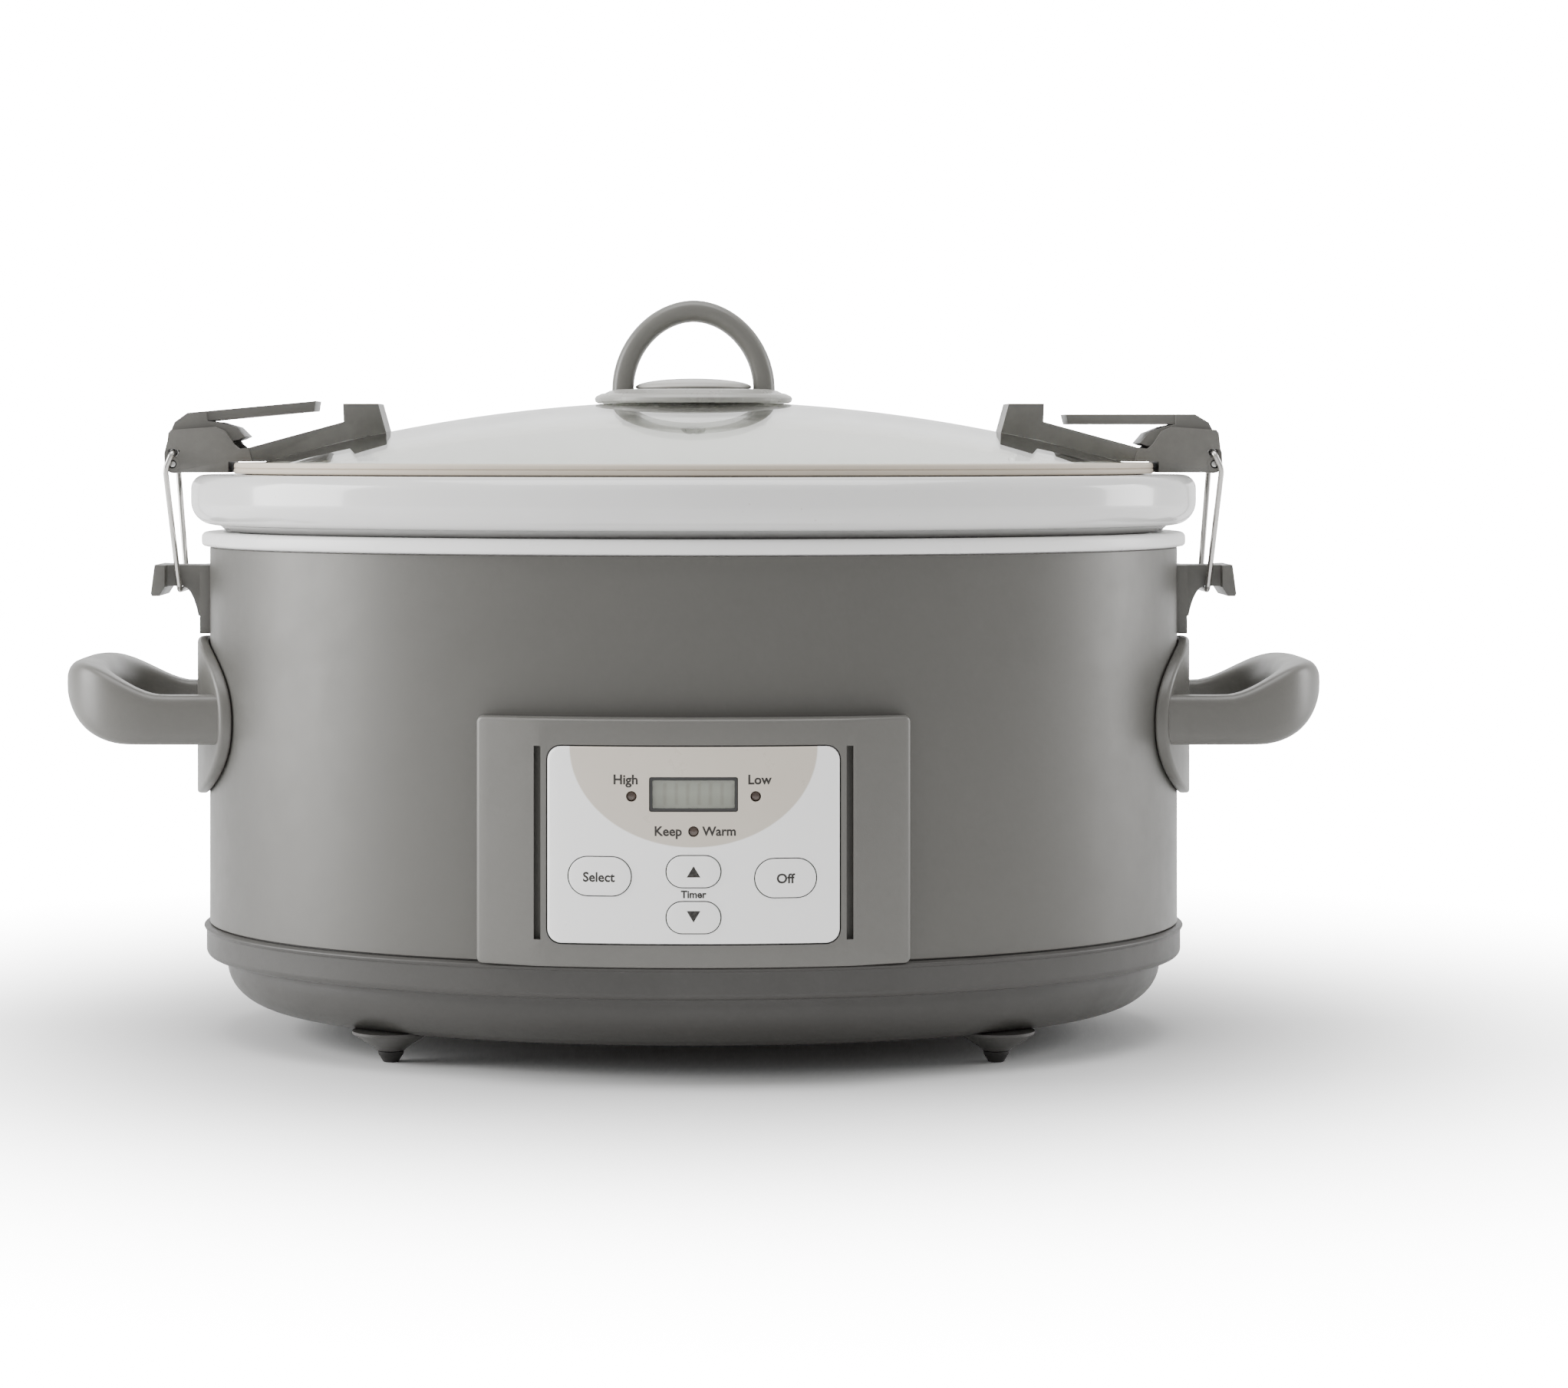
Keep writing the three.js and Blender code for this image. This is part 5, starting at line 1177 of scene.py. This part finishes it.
def gasket_profile():
    edge = GLASS_HIGH.x
    seat = edge + GAP
    face = GASKET_HIGH.x
    top = GASKET_HIGH.z
    glass_foot = dome_height(edge) - GLASS_THICKNESS - GAP
    foot = GASKET_LOW.z
    under = CROCK_HIGH.z + GAP
    return [
        (edge - 2.8, foot), (edge - 2.8, glass_foot), (seat, glass_foot),
        (seat, top - 0.5), (seat + 0.5, top), (face - 1.1, top),
        *arc(face - 0.9, top - 0.9, 0.9, 0.9, 90, 0, 4),
        (face, under + 2.0), (face - 0.35, under + 1.7), (face, under + 1.4),
        *arc(face - 0.7, under + 0.7, 0.7, 0.7, 0, -90, 4),
        (seat + 1.3, under), (seat + 1.3, foot),
    ]


def knob_disc():
    radius = KNOB_HIGH.x
    bottom = dome_height(0) + GAP
    edge = dome_height(radius) + GAP
    return spun([
        (0, bottom), (radius * 0.5, dome_height(radius * 0.5) + GAP), (radius - 1, edge),
        (radius - 0.2, edge + 0.6), (radius, edge + 1.4), (radius, DISC_TOP - 2.8),
        (radius - 0.5, DISC_TOP - 2.1), (radius - 2.2, DISC_TOP - 1.3), (radius - 3.0, DISC_TOP - 1.3),
        (ARCH_HALF_WIDTH + 0.8, DISC_TOP - 0.4), (ARCH_HALF_WIDTH - 1, DISC_TOP), (0, DISC_TOP),
    ], round_depth, 96)


def knob_arch():
    """A strap bent into an arch. Its inside keeps the strap's thickness all the way round."""
    height = KNOB_HIGH.z - DISC_TOP
    steps = 56
    outer = superellipse(ARCH_HALF_WIDTH, height, ARCH_ROUNDNESS, 0, 180, steps)
    inner = superellipse(
        ARCH_HALF_WIDTH - ARCH_THICKNESS, height - ARCH_THICKNESS, ARCH_ROUNDNESS, 0, 180, steps,
    )
    section = superellipse(1, ARCH_DEPTH / 2, 3.4, 0, 345, 23)

    def ring(inside, outside, drop):
        return [
            (
                inside[0] + (outside[0] - inside[0]) * (across + 1) / 2, depth,
                DISC_TOP - drop + inside[1] + (outside[1] - inside[1]) * (across + 1) / 2,
            )
            for across, depth in section
        ]

    rings = [ring(i, o, 0) for i, o in zip(inner, outer)]
    return lofted([ring(inner[0], outer[0], ARCH_SUNK), *rings, ring(inner[-1], outer[-1], ARCH_SUNK)])


def cap_body():
    radius = CAP_HIGH.x
    bottom = CAP_LOW.z
    rise = CAP_HIGH.z - bottom
    return spun([
        (0, bottom), (radius - 0.4, bottom), (radius, bottom + 0.4),
        *arc(0, bottom + 0.5, radius, rise - 0.5, 3, 88, 14), (0, CAP_HIGH.z),
    ], round_depth, 72)


def washer_body():
    top = WASHER_HIGH.z
    radius = WASHER_HIGH.x
    return spun([
        (2.6, WASHER_LOW.z), (11.4, WASHER_LOW.z), (12.4, WASHER_LOW.z + 0.25),
        (radius - 4, WASHER_LOW.z + 0.9), (radius - 0.6, top - 1.7), (radius, top - 1.3),
        (radius - 0.3, top - 1.0), (2.6, top),
    ], round_depth, 72)


def screw_head(top, radius, height):
    """A pan head facing down on the middle of the lid, with a cross pressed into it."""
    head = spun([
        (0, top - height), *arc(0, top, radius, height, 290, 350, 6), (radius, top), (0, top),
    ], round_depth, 32)
    for turn in (0, 90):
        blade = block((-radius * 0.62, -0.45, -height - 1), (radius * 0.62, 0.45, -height * 0.35))
        head = cut(head, moved(turned(blade, turn, "Z"), (0, 0, top)))
    return head


def build_crock_and_lid():
    """Makes the crock and the lid, and gives back the finish of their screws."""
    piece("crock_bowl", spun(crock_profile()), glazed_stoneware(), "crock", "stoneware", "stoneware_crock")
    glass = spun(dome_profile(), dome_depth)
    piece("glass_dome", glass, lid_glass(), "lid", "lid_glass", "lid_glass", crease=60)
    piece("gasket_ring", spun(gasket_profile()), gasket_silicone(), "lid", "gasket_silicone", "lid_gasket")
    piece("knob_arch", knob_arch(), knob_plastic(), "lid", "grey_plastic", "lid_handle")
    pale = pale_plastic()
    piece("knob_disc", knob_disc(), disc_plastic(), "lid", "grey_plastic", "lid_handle")
    piece("knob_cap", cap_body(), pale, "lid", "pale_grey_plastic", "lid_handle_cap")
    piece("knob_washer", washer_body(), white_plastic(), "lid", "pale_grey_plastic", "lid_handle_washer")
    low, high = limits("lid_handle_screw")
    screw = merged(
        screw_head(low.z + 2.2, high.x, 2.2),
        rod(2.0, (0, 0, low.z + 2), (0, 0, high.z), 24),
    )
    zinc = drawn_steel("bright_zinc_screws", (0.66, 0.66, 0.65), 0.28, (900.0, 900.0, 900.0))
    piece("knob_screw", screw, zinc, "lid", "zinc_steel", "lid_handle_screw")
    return zinc


# ---------------------------------------------------------------- side handles

PLATE_EXPONENT = 2.3
PLATE_THICKNESS = 3.6
GRIP_LEG = 10.5
GRIP_BAR = 14
GRIP_BOTTOM = 94
GRIP_LEG_TOP = 109.5
GRIP_END_TOP = 119.4
GRIP_HALF_WIDTH = 45.5
GRIP_SWEEP = 23.5     # how long the underside's sweep up to the outer end is
GRIP_END_DEPTH = 6.4
GRIP_STRAIGHT = 8     # how far out from the can the grip's bend starts


def grip_bottom(out):
    """The underside sweeps up towards the outer end."""
    start = GRIP_HIGH.x - GRIP_SWEEP
    rise = GRIP_END_TOP - GRIP_END_DEPTH - GRIP_BOTTOM
    share = max(0.0, min(1.0, (out - start) / GRIP_SWEEP))
    return GRIP_BOTTOM + rise * (1 - math.sqrt(1 - share ** 2))


def grip_top(out):
    """The top rises from the legs to a crown near the outer end, and rolls over it."""
    end = GRIP_HIGH.x
    rise = max(0.0, min(1.0, (out - (end - 34)) / 28))
    crown = GRIP_LEG_TOP + (GRIP_END_TOP - GRIP_LEG_TOP) * (3 * rise ** 2 - 2 * rise ** 3)
    roll = max(0.0, (out - (end - 5)) / 5)
    return crown - 6.0 * (1 - math.sqrt(max(0.0, 1 - roll ** 2)))


def grip_body():
    """A bar swept round the grip's plan, with its own height at every point."""
    straight = HALF_WIDTH + GRIP_STRAIGHT
    steps = 56
    outer = superellipse(GRIP_HIGH.x - straight, GRIP_HALF_WIDTH, 3, -90, 90, steps)
    inner = superellipse(GRIP_HIGH.x - GRIP_BAR - straight, GRIP_HALF_WIDTH - GRIP_LEG, 3, -90, 90, steps)
    section = superellipse(1, 1, 4.2, 0, 350, 35)

    def station(inside, outside):
        ring = []
        for across, up in section:
            share = (across + 1) / 2
            x = straight + inside[0] + (outside[0] - inside[0]) * share
            y = inside[1] + (outside[1] - inside[1]) * share
            bottom, top = grip_bottom(x), grip_top(x)
            ring.append((x, y, bottom + (top - bottom) * (up + 1) / 2))
        return ring

    def root(ring):
        seat = HALF_WIDTH + GAP + 2
        return [(seat * math.sqrt(1 - (y / (seat - OVAL_DIFFERENCE)) ** 2), y, z) for _, y, z in ring]

    rings = [station(i, o) for i, o in zip(inner, outer)]
    return lofted([root(rings[0]), *rings, root(rings[-1])])


def handle_plate():
    """The escutcheon between the grip and the can, wrapped onto the can's end."""
    middle = (GRIP_LOW.z + GRIP_HIGH.z) / 2
    half_height = (GRIP_HIGH.z - GRIP_LOW.z) / 2
    outline = superellipse(GRIP_HIGH.y, half_height, PLATE_EXPONENT, 0, 356, 89)
    plate = slab([(y, z + middle) for y, z in outline], 0, PLATE_THICKNESS, bevel=1.0, segments=4)
    moved(turned(plate, -90, "Z"), (GAP, 0, 0))
    return bent_to_end(sliced(plate, (0, 1, 0), [BEND_STEP * i for i in range(-15, 16)]))


# ---------------------------------------------------------------- latches

BAIL_RADIUS = 0.9
BAIL_BEND = 1.8
BAIL_BAR_OUT = 164.1
BAIL_BAR_HALF_WIDTH = 10.2
LEVER_PIVOT_OUT = 165.9
LEVER_PIVOT_UP = 181.3
HOOK_ROUNDING = 0.45
LEVER_ROUNDING = 0.8


def filleted(corners, bend, steps=8):
    """A route of straight stretches with its corners rounded off."""
    route = [corners[0]]
    for before, corner, after in zip(corners, corners[1:], corners[2:]):
        enter = corner + (before - corner).normalized() * bend
        leave = corner + (after - corner).normalized() * bend
        for i in range(steps + 1):
            share = i / steps
            route.append(enter.lerp(corner, share).lerp(corner.lerp(leave, share), share))
    return [*route, corners[-1]]


def wire(route, radius, sides=16):
    """Round wire along a route."""
    rings = []
    heading = (route[1] - route[0]).normalized()
    side = heading.orthogonal().normalized()
    for i, point in enumerate(route):
        before, after = route[max(0, i - 1)], route[min(len(route) - 1, i + 1)]
        ahead = (after - before).normalized()
        side = heading.rotation_difference(ahead) @ side
        heading = ahead
        other = heading.cross(side)
        angles = [math.tau * k / sides for k in range(sides)]
        rings.append([point + radius * (math.cos(a) * side + math.sin(a) * other) for a in angles])
    return lofted(rings)


def bail_body(side):
    """The wire loop: its ends turn in through the lever's sleeve and its bar lies in the hook."""
    low, high = limits(f"bail_sleeve_{side}")
    pivot = (low + high) / 2
    wire_low, wire_high = limits(f"latch_bail_{side}")
    sign = SIDES[side]
    half_top = wire_high.y - BAIL_RADIUS
    lever = Vector((sign * LEVER_PIVOT_OUT, 0, LEVER_PIVOT_UP))
    corners = [
        Vector((pivot.x, high.y - 2.6, pivot.z)),
        Vector((pivot.x, half_top, pivot.z)),
        Vector((lever.x + sign * 2, half_top - 0.2, lever.z - 1.5)),
        Vector((sign * BAIL_BAR_OUT, BAIL_BAR_HALF_WIDTH, wire_low.z + BAIL_RADIUS)),
    ]
    across = [Vector((c.x, -c.y, c.z)) for c in reversed(corners)]
    return wire(filleted([*corners, *across], BAIL_BEND), BAIL_RADIUS)


def build_side(side, plastic, zinc, spring):
    handle = merged(grip_body(), handle_plate())
    if side == "left":
        handle = mirrored(handle)
    piece(f"carry_handle_{side}", handle, plastic, "base", "grey_plastic", f"side_handle_{side}")
    for name, node, body, width in (
        ("bail_hook", "latch_hook", "base", HOOK_ROUNDING),
        ("latch_cheeks", "latch_base", "lid", HOOK_ROUNDING),
        ("latch_lever_arm", "latch_lever", f"lever_{side}", LEVER_ROUNDING),
    ):
        shape = refined(f"{node}_{side}", width)
        piece(f"{name}_{side}", shape, plastic, body, "grey_plastic", f"{node}_{side}")
    piece(f"bail_wire_{side}", bail_body(side), spring, f"bail_{side}", "spring_steel", f"latch_bail_{side}")
    low, high = limits(f"lever_pin_{side}")
    middle = (low + high) / 2
    pin = rod((high.x - low.x) / 2, (middle.x, low.y, middle.z), (middle.x, high.y, middle.z), 24, bevel=0.2)
    piece(f"lever_pivot_pin_{side}", pin, zinc, "lid", "zinc_steel", f"lever_pin_{side}")


def build_sides(zinc):
    """Makes the handles and latches, and gives back the finish of their wire."""
    plastic = grip_plastic()
    spring = drawn_steel("bright_bail_wire", (0.60, 0.585, 0.56), 0.22, (700.0, 700.0, 120.0))
    for side in SIDES:
        build_side(side, plastic, zinc, spring)
    return spring


# ---------------------------------------------------------------- nodes that keep their own shape

def dress(surface, *nodes):
    """Gives CAD nodes a finish of their own."""
    for node in nodes:
        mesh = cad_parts[node].data
        mesh.materials.clear()
        mesh.materials.append(surface)


def dress_workings(zinc, spring):
    dress(circuit_board(), "control_board", "power_board")
    dress(heater_mica(), "heater_band")
    dress(black_plastic(), "power_relay")
    dress(pale_plastic(), "power_transformer", "panel_ribbon")
    sensor_cap = drawn_steel("pressed_sensor_cap", (0.58, 0.58, 0.57), 0.3, (500.0, 500.0, 500.0))
    dress(sensor_cap, "temperature_sensor")
    dress(spring, "sensor_spring")
    dress(zinc, "thermal_fuse", "base_screw_left", "base_screw_right")
    for side in SIDES:
        dress(
            zinc, f"handle_screw_{side}_lower", f"handle_screw_{side}_upper", f"hook_screw_{side}",
            f"latch_screw_{side}", f"bail_sleeve_{side}",
        )


# ---------------------------------------------------------------- floor, light and camera

# The floor's painted light: camera rays see it painted darker near the cooker as shade, and painted far
# brighter away from it as a glow.
FLOOR_NEAR, FLOOR_FAR = 0.1, 0.6       # where the floor starts and ends growing brighter, in metres
FLOOR_SHADED = (0.72, 0.72, 0.72)
FLOOR_PAINTED_GLOW = (9.0, 9.0, 9.0)
FLOOR_HALF_WIDTH = 9.0
WORLD_STRENGTH = 0.72
LENS = 92.8
SENSOR_WIDTH = 36
CAMERA_SHIFT = (0.0577, -0.160)
CAMERA_PLACE = (0, -1.301, 0.188)
LIGHTS = {             # place, where it points, width, height, watts
    "left_window": ((-1.5, -0.1, 0.5), (0, 0, 0.1), 0.9, 1.2, 38),
    "right_fill": ((1.5, 0.3, 0.35), (0, 0, 0.08), 0.6, 1.0, 14),
    "overhead": ((0, -0.2, 1.8), (0, 0, 0.1), 1.8, 1.4, 34),
    "back_wall_light": ((0, 1.6, 2.2), (0, 3.6, 0.9), 3.5, 1.2, 70),
}


def floor_paper():
    """White paper with painted light: for the camera it is painted brighter away from the cooker than the
    light it gives back, and painted darker near the cooker as shade.
    """
    surface = Surface("pale_floor_painted_glow", 0.75, specular=0.1)
    place = surface.coordinates()
    paper = surface.noise(1.5, vector=place)
    surface.paint(surface.blend(paper, (0.955, 0.955, 0.955), (0.965, 0.965, 0.965)))
    distance = surface.add("ShaderNodeVectorMath", operation="LENGTH")
    surface.join(place, distance.inputs[0])
    # Painted glow and shade: by distance from the cooker, camera rays see the paper go from painted shade to
    # a painted glow far above white.
    away = surface.between(distance.outputs["Value"], FLOOR_NEAR, FLOOR_FAR, interpolation="SMOOTHERSTEP")
    seen = surface.add("ShaderNodeBsdfDiffuse")
    surface.join(surface.blend(away, FLOOR_SHADED, FLOOR_PAINTED_GLOW), seen.inputs["Color"])
    surface.show_instead("Is Camera Ray", seen)
    return surface.material


def stage_floor():
    """A pale floor that curves up into a wall far behind."""
    bm = bmesh.new()
    profile = [(-6.0, 0.0), *arc(0.7, 3.0, 3.0, 3.0, 270, 360, 48), (3.7, 6.0)]
    verts = [bm.verts.new((-FLOOR_HALF_WIDTH, y, z)) for y, z in profile]
    edges = [bm.edges.new(pair) for pair in zip(verts, verts[1:])]
    pushed = bmesh.ops.extrude_edge_only(bm, edges=edges)["geom"]
    bmesh.ops.translate(bm, vec=(2 * FLOOR_HALF_WIDTH, 0, 0), verts=grown(pushed))
    bmesh.ops.recalc_face_normals(bm, faces=bm.faces)
    mesh = bpy.data.meshes.new("floor")
    bm.to_mesh(mesh)
    bm.free()
    mesh.shade_smooth()
    mesh.materials.append(floor_paper())
    floor = bpy.data.objects.new("floor", mesh)
    bpy.context.collection.objects.link(floor)


def area_light(name, place, target, width, height, watts):
    data = bpy.data.lights.new(name, "AREA")
    data.shape = "RECTANGLE"
    data.size = width
    data.size_y = height
    data.energy = watts
    light = bpy.data.objects.new(name, data)
    light.location = place
    light.rotation_euler = (Vector(target) - Vector(place)).to_track_quat("-Z", "Y").to_euler()
    bpy.context.collection.objects.link(light)


def build_light():
    world = bpy.data.worlds.new("studio")
    bpy.context.scene.world = world
    world.use_nodes = True
    background = world.node_tree.nodes["Background"]
    background.inputs["Color"].default_value = (1, 1, 1, 1)
    background.inputs["Strength"].default_value = WORLD_STRENGTH
    for name, values in LIGHTS.items():
        area_light(name, *values)


def build_camera():
    data = bpy.data.cameras.new("camera")
    data.sensor_width = SENSOR_WIDTH
    data.lens = LENS
    data.shift_x, data.shift_y = CAMERA_SHIFT
    data.clip_end = 50
    camera = bpy.data.objects.new("camera", data)
    camera.location = CAMERA_PLACE
    camera.rotation_euler = (math.radians(90), 0, 0)
    bpy.context.collection.objects.link(camera)
    bpy.context.scene.camera = camera


# ---------------------------------------------------------------- the whole cooker

build_camera()
build_light()
stage_floor()
build_base()
build_panel()
ZINC = build_crock_and_lid()
SPRING = build_sides(ZINC)
dress_workings(ZINC, SPRING)
